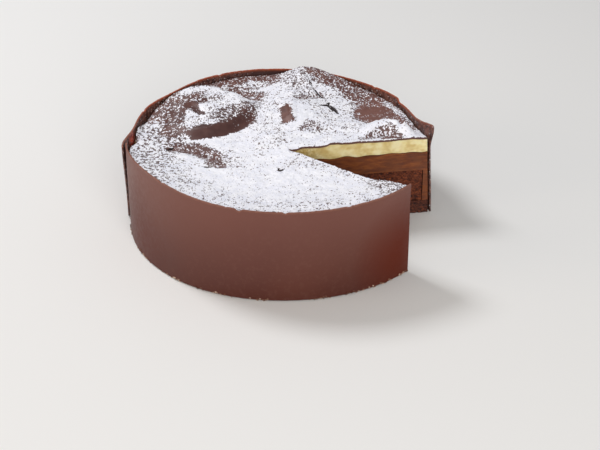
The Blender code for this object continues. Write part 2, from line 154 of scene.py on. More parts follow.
# How much lower the sheet lies beside the collar, by the angle and in millimetres, less than 0
# where it is raised
EDGE_DROOP = [(-3, 0), (20, 0.4), (40, 0.9), (80, 0.6), (125, 0.2), (137, 0.4), (145, 2.6),
              (155, 3.8), (162, 3.4), (167, 1.0), (170, -2.4), (173, -4.2), (176.5, -2.8),
              (179.5, 3.4), (182.5, 2.2), (185.5, -1.0), (190, -0.4), (197, 0), (225, 0),
              (318, 0)]
DROOP_WIDTH = 5.5 * MM
# The sheet stays this far under the solids' highest point
TOP_ROOM = 0.7 * MM
# Where the sheet stands above the collar its outer edge folds down, to this far under the rim
# and under the folds' own height, and the cream's side draws back to make room for it
HEM_UNDER_RIM = 1.2 * MM
HEM_UNDER_FOLDS = 1.5 * MM
HEM_ROOM = 2.9 * MM

# How much of the sheet the icing sugar covers, over patches of the plan in millimetres, laid on
# in this order. Each has a line, its reach to both sides, its soft edge and its share of sugar.
# One without a reach takes all that lies to the left of its line.
SUGAR_LEVEL = 0.965
SUGAR_PATCHES = {
    "left_shoulder": ([(-98, 16), (-90, -10), (-86, -34), (-70, -62)], 13, 17, 0.66),
    "front_rim": ([(-66, -74), (0, -97), (62, -76)], 12, 14, 0.88),
    "right_flank": ([(12, 66), (24, 50), (34, 34), (40, 14)], 13, 8, 0.82),
    "front_cut": ([(14, -22), (40, -44), (74, -72)], 3, 9, 0.84),
    "hollow": ([(-70, 66), (-46, 80), (-18, 86), (4, 90)], 13, 5, 0.18),
    "hollow_drift": ([(-48, 73), (-38, 80), (-30, 81), (-20, 78)], 3.5, 6, 0.54),
    "hollow_floor": ([(-34, 62), (-22, 60), (-12, 55)], 4.5, 4, 0.14),
    "hollow_rim": ([(-56, 70), (-38, 82), (-14, 89), (2, 90)], 4.5, 4, 0.11),
    "back_right": ([(14, 92), (17, 78), (24, 70), (34, 64), (42, 53), (46, 43), (48, 30), (56, 19),
                    (92, 12)], None, 7, 0.17),
    "bare_back": ([(54, 36), (60, 42), (63, 36)], 6, 10, 0.04),
    "bare_edge": ([(66, 30), (72, 24), (76, 14)], 3, 5, 0.12),
    "peak_back": ([(22, 84), (30, 76), (40, 74)], 4, 5, 0.16),
    "collar_drift": ([(65, 54), (72, 42), (78, 32), (85, 20)], 1.2, 3, 0.55),
    "peak_flank": ([(4, 86), (6, 74), (10, 64), (8, 54)], 5, 6, 0.58),
    "flank_patch": ([(12, 12.5), (15.5, 14.5), (19, 11)], 2, 4, 0.45),
    "tear_patch": ([(9, 48), (15, 52), (21, 56)], 1.8, 3.4, 0.3),
    "cut_band": ([(8, -5), (26, -3), (44, -1)], 4, 5, 0.95),
    "shoulder_mottle": ([(-85, 18), (-78, 12), (-72, 2)], 5, 7, 0.54),
    "hood_left": ([(-84, 29), (-76, 38), (-67, 47), (-56, 49)], 6, 6, 0.2),
    "hood_shade": ([(-70, 13), (-70, 26), (-69, 36), (-63, 41)], 5, 6, 0.16),
    "crest": ([(-66, 52), (-56, 58), (-45, 56), (-31, 48), (-12, 46)], 1.6, 3.6, 0.9),
    "hood_pad": ([(-56, 17), (-46, 25), (-41, 38), (-47, 49)], 4, 6, 0.76),
    "hood_right": ([(-38, 23), (-28, 32), (-12, 41)], 6, 6, 0.25),
    "hood_hem": ([(-27, 19), (-18, 27), (-10, 39)], 2.8, 4, 0.18),
    "hood_dent": ([(-61.5, 38.6), (-56, 32), (-52.6, 27)], 1.8, 2.2, 0.02),
    "hood_dent_back": ([(-56.5, 40), (-52, 42.6), (-49, 44.6)], 1.4, 2, 0.08),
    "hood_dent_end": ([(-47.5, 46), (-44, 49)], 1.6, 2.6, 0.46),
    "trough": ([(-66, -7), (-56, -9.3), (-47, -17), (-40, -27)], 4.8, 4.4, 0.15),
    "trough_drift": ([(-36, -17), (-33, -23), (-31, -29)], 2, 5, 0.76),
    "streak": ([(-3.4, 14), (-2.6, 5), (-1.5, -4)], 1, 3, 0.66),
    "right_tip": ([(56, -60), (62, -72), (70, -74)], 3, 9, 0.56),
    "tip_patch": ([(4, -30), (9, -33), (15, -33.5)], 1.5, 4.5, 0.72),
    "spine": ([(-13, -8), (-10, 26), (-8, 44), (-2, 58)], 5, 8, 0.87),
    "hump": ([(50, 9), (60, 14), (70, 13)], 3.4, 3, 0.93),
    "hump_front": ([(49, -2), (58, 3.4), (65, 4.6), (70, 1)], 2.4, 3, 0.34),
    "hump_foot": ([(61, -3), (66, -2), (70, -1)], 1.8, 2, 0.06),
    "hump_lump": ([(74, 7), (78, 4), (84, -4)], 3.4, 2.4, 0.98),
}
# Bare chocolate on the steep faces, each with its upper edge combed into streaks
BARE_FACES = {
    "hood_face": dict(line=[(-64, 7.4), (-56, 6.6), (-44, 9), (-34.6, 14.2), (-27, 20.6), (-20, 31),
                            (-14, 38)],
                      above=4.4, below=4.6, frayed=4.6, foot=1.4, ends=(0.05, 0.42)),
    "spine_spot": dict(line=[(-2.6, 37.5), (0.2, 31), (1.0, 24), (2.4, 14.5)],
                       above=3.9, below=3.6, frayed=2.6, foot=2.2, ends=(0.1, 0.16)),
}
COMB_LENGTH = 1.5 * MM
# How the noise that makes the sugar's specks is spread: its middle, and its logistic width
SPECKLE_MIDDLE = 0.5
SPECKLE_SPREAD = 0.0353

# Places where the collar's upper edge broke: the angle, how wide and how deep
RIM_BREAKS = [(254.6, 1.1, 1.2), (269.9, 0.6, 0.9), (291.0, 0.7, 0.5), (222.0, 0.9, 0.4),
              (160.5, 0.8, 0.7), (118.0, 0.9, 0.6), (74.0, 1.0, 0.8), (49.0, 0.9, 0.6)]
# The broken corner of the rim at the back right: the angle at which the rim steps up and over how
# many degrees, the middle and the reach of the part of the rim that it changes, and how far that
# part lies up and down in millimetres
RIM_STEP_DEG = 33.2
RIM_STEP_RISE_DEG = 0.9
RIM_STEP_MIDDLE_DEG = 34
RIM_STEP_REACH_DEG = 14
RIM_STEP_UP = 1.3
RIM_STEP_DOWN = 1.1
# The bands thin out to this share towards the rim, and over these degrees towards their ends
THIN_SHARE = 0.5
THIN_END_DEG = 3.0
# Light shines through the collar at this point in millimetres, beside a gap under the sheet
THIN_SPOT = (-94.5, 0.5, 55.5)
# The collar's mean radius, and how far apart the points round it and round its foot lie
MEAN_RADIUS = 97 * MM
BAND_SPACING = 0.9 * MM
CHIP_LINE_SPACING = 2 * MM
# The chips lie round the foot between these angles, this high and this far inside the outer face
CHIPS_FROM_DEG = 2.0
CHIPS_TO_DEG = 315.0
CHIP_LINE_HEIGHT = 0.75 * MM
CHIP_LINE_INSET = 0.1 * MM
# The two cut faces: which of the turns they lie at, and the side to which they are set back
CUT_FACES = ((0, 1), (-1, -1))

# The studio: each lamp's name, place, power in watts, width and colour, aimed at the same point
LAMPS = [("key", (-0.75, 0.55, 1.25), 11.5, 0.5, "#fcfcff"),
         ("front_fill", (0.25, -1.5, 0.75), 16.5, 1.2, "#fffaf4"),
         ("left_fill", (-1.4, -0.4, 0.5), 3.8, 0.8, "#ffe8d2")]
LAMP_TARGET = (0, 0, 0.03)
SKY_COLOUR = "#f3f4f7"
SKY_STRENGTH = 0.34
FLOOR_HALF_WIDTH = 4
FLOOR_DROP = 0.2 * MM
# The camera's place and the point that it looks at, in metres, its roll and its lens
CAMERA_PLACE = (0.0079, -0.7267, 0.4336)
CAMERA_TARGET = (0.0079, -0.015, 0.0)
CAMERA_ROLL_DEG = -1.2
LENS_MM = 79.2
SENSOR_MM = 36


def smooth(t):
    t = np.clip(t, 0.0, 1.0)
    return t * t * (3.0 - 2.0 * t)


def lattice_noise(x, y, size, seed):
    """Soft noise from -1 to 1 whose bumps are about this size."""
    table = np.random.RandomState(seed).rand(256, 256) * 2 - 1
    u, v = np.asarray(x) / size, np.asarray(y) / size
    i, j = np.floor(u).astype(int), np.floor(v).astype(int)
    s, t = smooth(u - i), smooth(v - j)
    i, j, i1, j1 = i & 255, j & 255, (i + 1) & 255, (j + 1) & 255
    low = table[i, j] * (1 - s) + table[i1, j] * s
    high = table[i, j1] * (1 - s) + table[i1, j1] * s
    return low * (1 - t) + high * t


def shares(count):
    """The bounds of this many equal parts, from 0 to 1."""
    return np.linspace(0, 1, count + 1)


def bearing(x, y):
    """The angle about the cake's axis, in degrees."""
    return np.degrees(np.arctan2(y, x))


def from_apex(reach, turns):
    """The points of the plan at these reaches from the apex."""
    return APEX[0] + reach * np.cos(turns), APEX[1] + reach * np.sin(turns)


def around(degrees, stations):
    """The value at an angle, in metres, on a smooth curve through the ring of stations."""
    angles, values = np.array(stations, float).T * [[1], [MM]]
    turn = (degrees - angles[0]) % 360 + angles[0]
    angles = np.concatenate([[angles[-1] - 360], angles, angles[:2] + 360])
    values = np.concatenate([[values[-1]], values, values[:2]])
    slopes = (values[2:] - values[:-2]) / (angles[2:] - angles[:-2])
    angles, values = angles[1:-1], values[1:-1]
    slot = np.clip(np.searchsorted(angles, turn, side="right") - 1, 0, len(angles) - 2)
    span = angles[slot + 1] - angles[slot]
    t = (turn - angles[slot]) / span
    blend = smooth(t)
    value = values[slot] * (1 - blend) + values[slot + 1] * blend
    return value + span * t * (1 - t) * (slopes[slot] * (1 - t) - slopes[slot + 1] * t)


def curl(degrees, z):
    """How far the collar's upper edge turns outwards beside the two cuts."""
    out = np.zeros_like(degrees)
    for cut_at, most in CURL.items():
        away = np.abs((degrees - cut_at + 180.0) % 360.0 - 180.0)
        out = out + most * np.exp(-((away / CURL_WIDTH_DEG) ** 2))
    return out * smooth((z - CURL_FROM) / (WALL_HEIGHT - CURL_FROM))


def wall_radius(degrees, z):
    """The outer radius of the collar, straight from its foot to its upper edge."""
    foot = around(degrees, FOOT_RADIUS)
    return foot + (around(degrees, TOP_RADIUS) - foot) * z / WALL_HEIGHT


def curve_points(points, samples=48):
    """Samples, in metres, of a smooth curve through points given in millimetres."""
    p = np.array(points, float) * MM
    p = np.vstack([2 * p[0] - p[1], p, 2 * p[-1] - p[-2]])
    spans = len(p) - 3
    out = []
    for t in np.linspace(0, spans, samples):
        i = min(int(t), spans - 1)
        u = t - i
        a, b, c, d = p[i:i + 4]
        out.append(0.5 * (2 * b + (c - a) * u + (2 * a - 5 * b + 4 * c - d) * u * u
                          + (3 * b - a - 3 * c + d) * u ** 3))
    return np.array(out)


def across(x, y, line):
    """How far each point lies to the left of a line, less than 0 to its right."""
    start, step = line[:-1], np.diff(line, axis=0)
    best = np.full(x.shape, np.inf)
    side = np.zeros(x.shape)
    for (sx, sy), (tx, ty) in zip(start, step):
        gx, gy = x - sx, y - sy
        along = np.clip((gx * tx + gy * ty) / (tx * tx + ty * ty), 0, 1)
        dx, dy = gx - along * tx, gy - along * ty
        near = dx * dx + dy * dy
        closer = near < best
        best = np.where(closer, near, best)
        side = np.where(closer, np.sign(tx * dy - ty * dx), side)
    return side * np.sqrt(best)


def fade(x, y, points, ends):
    """The share of the way from end to end, and 1 along the line but 0 past its ends."""
    (x0, y0), (x1, y1) = np.array([points[0], points[-1]]) * MM
    t = ((x - x0) * (x1 - x0) + (y - y0) * (y1 - y0)) / ((x1 - x0) ** 2 + (y1 - y0) ** 2)
    return t, smooth(t / ends[0]) * smooth((1.0 - t) / ends[1])


def fold_height(x, y, fold):
    """How high a fold raises the sheet, from its foot up its face to its crest and down again."""
    foot = across(x, y, curve_points(fold["foot"]))
    crest = across(x, y, curve_points(fold["crest"]))
    climb = np.clip(foot / np.maximum(foot - crest, LEAST_STEP), 0, 1)
    t, ends = fade(x, y, fold["foot"], fold["ends"])
    wide, narrow = fold["rise"]
    rise = (wide + (narrow - wide) * smooth(t * 2)) * MM
    up = fold["face"] * smooth(foot / rise)
    up = up + (1 - fold["face"]) * np.sin(climb * math.pi / 2) * (foot > 0)
    down = 1.0 - smooth(crest / (fold["reach"] * MM))
    return fold["height"] * MM * up * down * ends


def ridge_height(x, y, line, heights, left_reach, right_reach, end_shares=(0.3, 0.3)):
    """How high a ridge raises the sheet, less than 0 for a dent or a trough."""
    left = across(x, y, curve_points(line))
    width = np.where(left > 0, left_reach, right_reach) * MM
    t, ends = fade(x, y, line, end_shares)
    low, high = heights
    height = (low + (high - low) * np.clip(t, 0, 1)) * MM
    return height * (1.0 - smooth(np.abs(left) / width)) * ends


def sheet_top(x, y):
    """The height of the folded sheet's upper face, as in the source."""
    degrees = bearing(x, y)
    edge = around(degrees, SHEET_EDGE)
    rim = wall_radius(degrees, WALL_HEIGHT)
    z = SHEET_LEVEL + (edge - SHEET_LEVEL) * smooth((np.hypot(x, y) - rim) / SHEET_EDGE_WIDTH + 1.0)
    for fold in FOLDS.values():
        z = z + fold_height(x, y, fold)
    for ridge in RIDGES.values():
        z = z + ridge_height(x, y, *ridge)
    return z


def tear_depth(x, y):
    """0 away from the tears and 1 in the middle of one."""
    depth = np.zeros_like(x)
    for line, width in TEARS.values():
        _, ends = fade(x, y, line, (0.45, 0.45))
        half = (0.3 + 0.7 * ends) * width * 0.5 * MM
        off = np.abs(across(x, y, curve_points(line, 12))) / half
        depth = np.maximum(depth, 1.0 - smooth(off - 0.4))
    return depth


def spread(level):
    """A face at about this height, spread by hand."""
    def height(x, y):
        along, over = (2 * math.pi / length for length in SWELL_LENGTHS)
        slant = 2 * math.pi * (x / SLANTED_LENGTHS[0] + y / SLANTED_LENGTHS[1])
        crossed = np.sin(along * x + SWELL_PHASE) * np.cos(over * y - SWELL_PHASE)
        return level + SWELL * crossed + SLANTED_SWELL * np.sin(slant)
    return height


def flat(level):
    return lambda x, y: np.full_like(x, level)


def inside_collar(degrees, z):
    """The radius to which the layers inside the collar reach."""
    return wall_radius(degrees, z) - COLLAR_THICKNESS - GAP


def upright(radius):
    """A wall that stands upright at this radius."""
    return lambda degrees, z: np.full_like(degrees, radius)


def fill_reach(turns, height, radius_at):
    """How far from the apex each ray meets the wall, for a face at this height of the plan."""
    ux, uy = np.cos(turns), np.sin(turns)
    reach = np.full_like(turns, SPONGE_RADIUS)
    middle = APEX[0] * ux + APEX[1] * uy
    for _ in range(20):
        x, y = APEX[0] + reach * ux, APEX[1] + reach * uy
        wall = radius_at(bearing(x, y), height(x, y))
        reach = -middle + np.sqrt(middle ** 2 - APEX[0] ** 2 - APEX[1] ** 2 + wall ** 2)
    return reach


def notch_turns(steps):
    """The rays about the apex, from the notch's back face anticlockwise to its front face."""
    return np.radians(np.linspace(NOTCH_BACK_DEG, 360 + NOTCH_FRONT_DEG, steps + 1))


def new_object(name, verts, faces, material=None, edges=()):
    mesh = bpy.data.meshes.new(name)
    mesh.from_pydata(np.asarray(verts, float).tolist(), edges, faces)
    mesh.update()
    obj = bpy.data.objects.new(name, mesh)
    bpy.context.scene.collection.objects.link(obj)
    if material:
        mesh.materials.append(material)
    return obj


def add_attribute(obj, name, values):
    field = obj.data.attributes.new(name, "FLOAT", "POINT")
    field.data.foreach_set("value", np.asarray(values, np.float32))


def grid_faces(grid):
    """The faces between the neighbouring points of a grid of their numbers."""
    corners = [grid[:-1, :-1], grid[:-1, 1:], grid[1:, 1:], grid[1:, :-1]]
    return np.stack(corners, -1).reshape(-1, 4)


def finish_mesh(obj):
    """Closes the seams, turns the faces outwards and rounds the shading."""
    bm = bmesh.new()
    bm.from_mesh(obj.data)
    bmesh.ops.remove_doubles(bm, verts=bm.verts, dist=1e-6)
    bmesh.ops.recalc_face_normals(bm, faces=bm.faces)
    bm.to_mesh(obj.data)
    bm.free()
    obj.data.shade_smooth()
    obj.data.set_sharp_from_angle(angle=math.radians(50))


def cut_body(name, reaches, heights, steps, relief, keep=None):
    """A closed body that turns about the apex from one cut face to the other.

    reaches and heights are [turn, ring, level] arrays: how far from the apex and how high each
    grid point lies. keep says which cells of the cut face are filled. relief gives how far the
    cut faces are set back at a reach and a height, which is also returned for each vertex.
    """
    turns = notch_turns(steps)[:, None, None]
    x, y = from_apex(reaches, turns)
    depth = np.zeros_like(x)
    for j, side in CUT_FACES:
        depth[j] = relief(reaches[j], heights[j], side)
        angle = turns[j, 0, 0]
        x[j] -= side * math.sin(angle) * depth[j]
        y[j] += side * math.cos(angle) * depth[j]
    count, rings, levels = x.shape
    if keep is None:
        keep = np.ones((rings - 1, levels - 1), bool)
    index = np.arange(x.size).reshape(x.shape)
    faces = []
    for j, turned in ((0, False), (count - 1, True)):
        for i, k in zip(*np.nonzero(keep)):
            a, b = index[j, i, k], index[j, i + 1, k]
            c, d = index[j, i + 1, k + 1], index[j, i, k + 1]
            faces.append((d, c, b, a) if turned else (a, b, c, d))

    def close(one, other, turned):
        """Closes the gap between two lines of points that run from cut face to cut face."""
        for j in range(count - 1):
            face = (one[j], one[j + 1], other[j + 1], other[j])
            faces.append(face[::-1] if turned else face)

    full = np.pad(keep, 1)
    for i in range(rings - 1):
        for k in range(levels):
            below, above = full[i + 1, k], full[i + 1, k + 1]
            if below != above:
                close(index[:, i, k], index[:, i + 1, k], not above)
    for i in range(1, rings):
        for k in range(levels - 1):
            inner, outer = full[i, k + 1], full[i + 1, k + 1]
            if inner != outer:
                close(index[:, i, k], index[:, i, k + 1], not inner)
    used = np.unique(np.concatenate([np.ravel(f) for f in faces]))
    renumber = np.full(x.size, -1)
    renumber[used] = np.arange(len(used))
    verts = np.stack([x, y, heights], -1).reshape(-1, 3)[used]
    faces = [tuple(int(renumber[v]) for v in face) for face in faces]
    return new_object(name, verts, faces), depth.ravel()[used]


def sheet_creases(x, y):
    z = np.zeros_like(x)
    for crease in CREASES.values():
        z = z + ridge_height(x, y, *crease)
    return z


def crinkles(x, y):
    """Soft wrinkles and sharper creases of a thin sheet that was laid by hand."""
    bend = 2.5 * MM * lattice_noise(x, y, 19 * MM, 2)
    wide = lattice_noise(x + bend, y - bend, 12 * MM, 3)
    crease = 1.0 - 2.0 * np.abs(lattice_noise(x - bend, y + bend, 8 * MM, 5))
    fine = lattice_noise(x + bend, y, 3.4 * MM, 8)
    return (0.34 * wide + 0.2 * crease + 0.13 * fine) * MM


def edge_droop(x, y):
    """How much lower the sheet lies here than its folds alone would make it."""
    degrees = bearing(x, y)
    near = smooth((np.hypot(x, y) - wall_radius(degrees, SHEET_LEVEL)) / DROOP_WIDTH + 1.25)
    return near * around(degrees, EDGE_DROOP)


def laid_top(x, y):
    """The sheet's upper face with all its wrinkles, but without tears and powder."""
    z = sheet_top(x, y) + sheet_creases(x, y) + crinkles(x, y) - edge_droop(x, y)
    return np.minimum(z, CAD_BOX[1].z - TOP_ROOM)


def patch_share(x, y, line, reach, soft):
    """1 within a reach of a line, or to its left without one, and 0 beyond a soft edge."""
    if reach is None:
        return smooth(0.5 + across(x, y, curve_points(line)) / (soft * MM))
    off = np.abs(across(x, y, curve_points(line, 16)))
    return 1.0 - smooth((off - reach * MM) / (soft * MM))


def bare_share(x, y, face):
    """1 on a bare face, with a clean foot and an upper edge that is combed into streaks."""
    left = across(x, y, curve_points(face["line"]))
    comb = lattice_noise(x + 0.3 * y, y * 0.1, COMB_LENGTH, 36)
    frayed = face["frayed"]
    top = smooth((face["above"] * MM - left + comb * frayed * 0.5 * MM) / (frayed * MM) + 0.5)
    foot = smooth((left + face["below"] * MM) / (face["foot"] * MM) + 0.5)
    _, ends = fade(x, y, face["line"], face["ends"])
    return top * foot * ends


def sugar_cover(x, y):
    """The share of the sheet that icing sugar covers, from 0 to 1."""
    sway_x, sway_y = (
        1.6 * MM * lattice_noise(x, y, 8 * MM, seed) + 0.8 * MM * lattice_noise(x, y, 3 * MM, seed + 1)
        for seed in (31, 33))
    cover = np.full_like(x, SUGAR_LEVEL)
    for line, reach, soft, sugar in SUGAR_PATCHES.values():
        cover = cover + (sugar - cover) * patch_share(x + sway_x, y + sway_y, line, reach, soft)
    for face in BARE_FACES.values():
        cover = cover * (1.0 - bare_share(x + 0.4 * sway_x, y + 0.4 * sway_y, face))
    cover = cover * (1.0 - 0.8 * smooth(edge_droop(x, y) / (1.6 * MM) - 0.3))
    return np.clip(cover + 0.05 * lattice_noise(x, y, 5 * MM, 37), 0, 1)


def speckle_level(cover):
    """The height of a speckle noise above which it must turn white to cover such a share."""
    share = np.clip(cover, 0.004, 0.996)
    return SPECKLE_MIDDLE - SPECKLE_SPREAD * np.log(share / (1 - share))


def powder(x, y, cover):
    """The small heaps of the icing sugar."""
    heap = lattice_noise(x, y, 1.9 * MM, 41) + 0.7 * lattice_noise(x, y, 1.1 * MM, 42)
    return (0.03 + 0.16 * cover) * heap * MM


def sheet_plan(turns, rings):
    """The sheet's points [turn, ring] in the plan, which fan out from the apex."""
    reach = fill_reach(turns, sheet_top, inside_collar)
    wobble = 0.35 * MM * lattice_noise(turns * 90 * MM, np.zeros_like(turns), 3.1 * MM, 51)
    reach = reach - 0.35 * MM - np.abs(wobble)
    dist = reach[:, None] * shares(rings)
    x, y = from_apex(dist, turns[:, None])
    for j, side in CUT_FACES:
        back = 0.28 * MM * (1 + lattice_noise(dist[j], dist[j] * 0, 2.3 * MM, 53 + side))
        back = np.minimum(back, 0.3 * dist[j] * abs(turns[1] - turns[0]))
        x[j] -= side * math.sin(turns[j]) * back
        y[j] += side * math.cos(turns[j]) * back
    return x, y


def hem_height(x, y):
    """The greatest height of the underside at the outer edge, which folds down over the collar."""
    rim = rim_line(bearing(x, y))
    return np.minimum(rim - HEM_UNDER_RIM, sheet_top(x, y) - HEM_UNDER_FOLDS)


def make_sheet(material):
    """The folded sheet: a fine upper face, a coarser lower one and the broken edge between."""
    steps, rings, each = 520, 160, 4
    x, y = sheet_plan(notch_turns(steps), rings)
    cover = sugar_cover(x, y)
    tears = tear_depth(x, y)
    z = laid_top(x, y) - TEAR_DEPTH * tears + powder(x, y, cover * (1 - tears))
    # Little sugar lies in the tears and along the two cut edges
    cover = cover * (1 - 0.9 * smooth(tears * 1.5))
    cover[[0, -1]] *= 0.35
    low = [g[::each, ::each] for g in (x, y)]
    under = laid_top(*low) - SHEET_THICKNESS
    under[:, -1] = np.minimum(under[:, -1], hem_height(low[0][:, -1], low[1][:, -1]))
    low.append(under)
    high_count = x.size
    upper = np.arange(high_count).reshape(x.shape)
    lower = high_count + np.arange(low[0].size).reshape(low[0].shape)
    faces = grid_faces(upper).tolist() + grid_faces(lower)[:, ::-1].tolist()
    for line, under in ((upper[:, -1], lower[:, -1]), (upper[0], lower[0]), (upper[-1], lower[-1])):
        for k in range(len(under) - 1):
            faces.append([*line[k * each:(k + 1) * each + 1].tolist(), int(under[k + 1]), int(under[k])])
    verts = np.vstack([np.stack([x, y, z], -1).reshape(-1, 3), np.stack(low, -1).reshape(-1, 3)])
    obj = new_object("chocolate_sheet", verts, faces, material)
    for field, values, beneath in (("sugar", cover, 0.0), ("speckle", speckle_level(cover), 1.0),
                                   ("tear", tears, 0.0)):
        add_attribute(obj, field, np.concatenate([values.ravel(), np.full(low[0].size, beneath)]))
    finish_mesh(obj)
    return obj


def pits(reach, height, count, across_mm, seed, low, high):
    """Round hollows of mixed sizes, as torn bubbles leave them, from 0 to 1 deep."""
    rng = np.random.RandomState(seed)
    depth = np.zeros_like(reach)
    for _ in range(count):
        centre, level = rng.uniform(0, 100 * MM), rng.uniform(low, high)
        wide = rng.uniform(*across_mm) * MM * rng.choice([1.0, 1.0, 0.6, 0.6, 1.35])
        tall = wide * rng.uniform(0.42, 0.8)
        lean = rng.uniform(-0.3, 0.3)
        u = (reach - centre) / wide + lean * (height - level) / tall
        v = (height - level) / tall
        near = 1.0 - u * u - v * v
        depth = np.maximum(depth, np.sqrt(np.clip(near, 0, 1)) * rng.uniform(0.55, 1.0))
    return depth


def sponge_relief(reach, height, side):
    deep = pits(reach, height, 520, (0.7, 1.7), 60 + side, BASE_TOP, SPONGE_TOP)
    rough = lattice_noise(reach, height * 1.5, 2.6 * MM, 62 + side)
    fine = lattice_noise(reach, height, 1.0 * MM, 64 + side)
    return (0.25 + 1.05 * deep + 0.34 * (1 + rough) + 0.14 * (1 + fine)) * MM * smooth(reach / (6 * MM))


def base_relief(reach, height, side):
    deep = pits(reach, height, 420, (0.35, 0.9), 70 + side, 0, BASE_TOP)
    rough = lattice_noise(reach, height * 1.3, 2.2 * MM, 72 + side)
    fine = lattice_noise(reach, height, 0.9 * MM, 74 + side)
    return (0.1 + 0.5 * deep + 0.22 * (1 + rough) + 0.1 * (1 + fine)) * MM * smooth(reach / (5 * MM))


def mousse_relief(reach, height, side):
    smear = lattice_noise(reach * 0.25, height, 1.1 * MM, 80 + side)
    soft = lattice_noise(reach, height * 1.4, 6 * MM, 82 + side)
    holes = pits(reach, height, 110, (0.25, 0.6), 84 + side, BASE_TOP, MOUSSE_TOP)
    return (0.12 * (1 + smear) + 0.2 * (1 + soft) + 0.45 * holes) * MM * smooth(reach / (5 * MM))


def cream_relief(reach, height, side):
    drag = lattice_noise(reach, height * 0.3, 4.2 * MM, 90 + side)
    soft = lattice_noise(reach, height, 2.1 * MM, 92 + side)
    return (0.22 * (1 + drag) + 0.1 * (1 + soft)) * MM * smooth(reach / (5 * MM))


def cut_layer(name, material, reaches, heights, steps, relief, field, keep=None):
    """A cut body in its material, with how far its faces are set back as a field in millimetres."""
    obj, depth = cut_body(name, reaches, heights, steps, relief, keep)
    add_attribute(obj, field, depth / MM)
    obj.data.materials.append(material)
    finish_mesh(obj)
    return obj


def make_layer(name, material, bottom, top, radius_at, cells, relief, field):
    """A layer of the cut cake between two faces, with its relief kept as an attribute.

    cells says how many steps it has round the apex, outwards and upwards.
    """
    steps, rings, levels = cells
    turns = notch_turns(steps)
    sides = []
    for face in (bottom, top):
        dist = fill_reach(turns, face, radius_at)[:, None] * shares(rings)
        sides.append((dist, face(*from_apex(dist, turns[:, None]))))
    t = shares(levels)
    reaches, heights = (low[..., None] * (1 - t) + high[..., None] * t for low, high in zip(*sides))
    return cut_layer(name, material, reaches, heights, steps, relief, field)


def make_mousse(material):
    """The mousse: a cup upside down over the sponge."""
    steps, inner, outer, low_levels, high_levels = 120, 150, 14, 26, 16
    turns = notch_turns(steps)
    bottom, lid, top = flat(BASE_TOP + GAP), flat(SPONGE_TOP + GAP), spread(MOUSSE_TOP)
    inside = fill_reach(turns, lid, upright(SPONGE_RADIUS + GAP))[:, None] * shares(inner)
    columns = []
    for height in (bottom, lid, top):
        wall = fill_reach(turns, height, inside_collar)[:, None]
        rim = inside[:, -1:]
        reach = np.hstack([inside, rim + (wall - rim) * shares(outer)[1:]])
        columns.append((reach, height(*from_apex(reach, turns[:, None]))))
    reaches, heights = [], []
    for (d0, z0), (d1, z1), parts in ((columns[0], columns[1], shares(low_levels)[:-1]),
                                      (columns[1], columns[2], shares(high_levels))):
        for t in parts:
            reaches.append(d0 + (d1 - d0) * t)
            heights.append(z0 + (z1 - z0) * t)
    keep = np.ones((inner + outer, low_levels + high_levels), bool)
    keep[:inner, :low_levels] = False
    return cut_layer("mousse_cup", material, np.stack(reaches, -1), np.stack(heights, -1), steps,
                     mousse_relief, "smear", keep)


def cream_lid(x, y):
    """The cream's upper face, which doesn't follow the sheet up where its edge is raised."""
    raised = np.maximum(-edge_droop(x, y), 0)
    return laid_top(x, y) - raised - SHEET_THICKNESS - 0.25 * MM


def inside_hem(degrees, z):
    """The cream's outer radius, which draws back where the sheet folds down over the collar."""
    over = smooth((z - rim_line(degrees)) / (1.5 * MM) + 1.1)
    return inside_collar(degrees, z) - HEM_ROOM * over


def slanted(ends, level):
    """The angle of a slanting end at a level, from 0 at the foot to 1 at the rim."""
    return ends[0] + (ends[1] - ends[0]) * level


def lap(degrees, z):
    """How far the back band stands off where it laps over the front one, most at the top."""
    level = z / WALL_HEIGHT
    start, end = slanted(FRONT_BAND_START, level), slanted(BACK_BAND_END, level)
    over = smooth((degrees - start) / LAP_EASE_DEG + 1)
    loose = smooth((degrees - start) / (end - start)) * level
    return over * (COLLAR_THICKNESS + GAP) + loose * LAP_LIFT


def rim_line(degrees):
    """The height of the collar's upper edge with its breaks and its step at the back right."""
    z = around(degrees, RIM_HEIGHT)
    for at, wide, deep in RIM_BREAKS:
        z = z - deep * MM * (1 - smooth(np.abs(degrees % 360 - at) / wide - 0.35))
    step = smooth((degrees - RIM_STEP_DEG) / RIM_STEP_RISE_DEG)
    near = np.exp(-(((degrees - RIM_STEP_MIDDLE_DEG) / RIM_STEP_REACH_DEG) ** 2))
    return z + near * (RIM_STEP_UP * step - RIM_STEP_DOWN * (1 - step)) * MM


def steps_round(start, end, spacing):
    """How many steps of about this length lie round the collar between two angles."""
    return int(abs(end - start) / 180 * math.pi * MEAN_RADIUS / spacing)


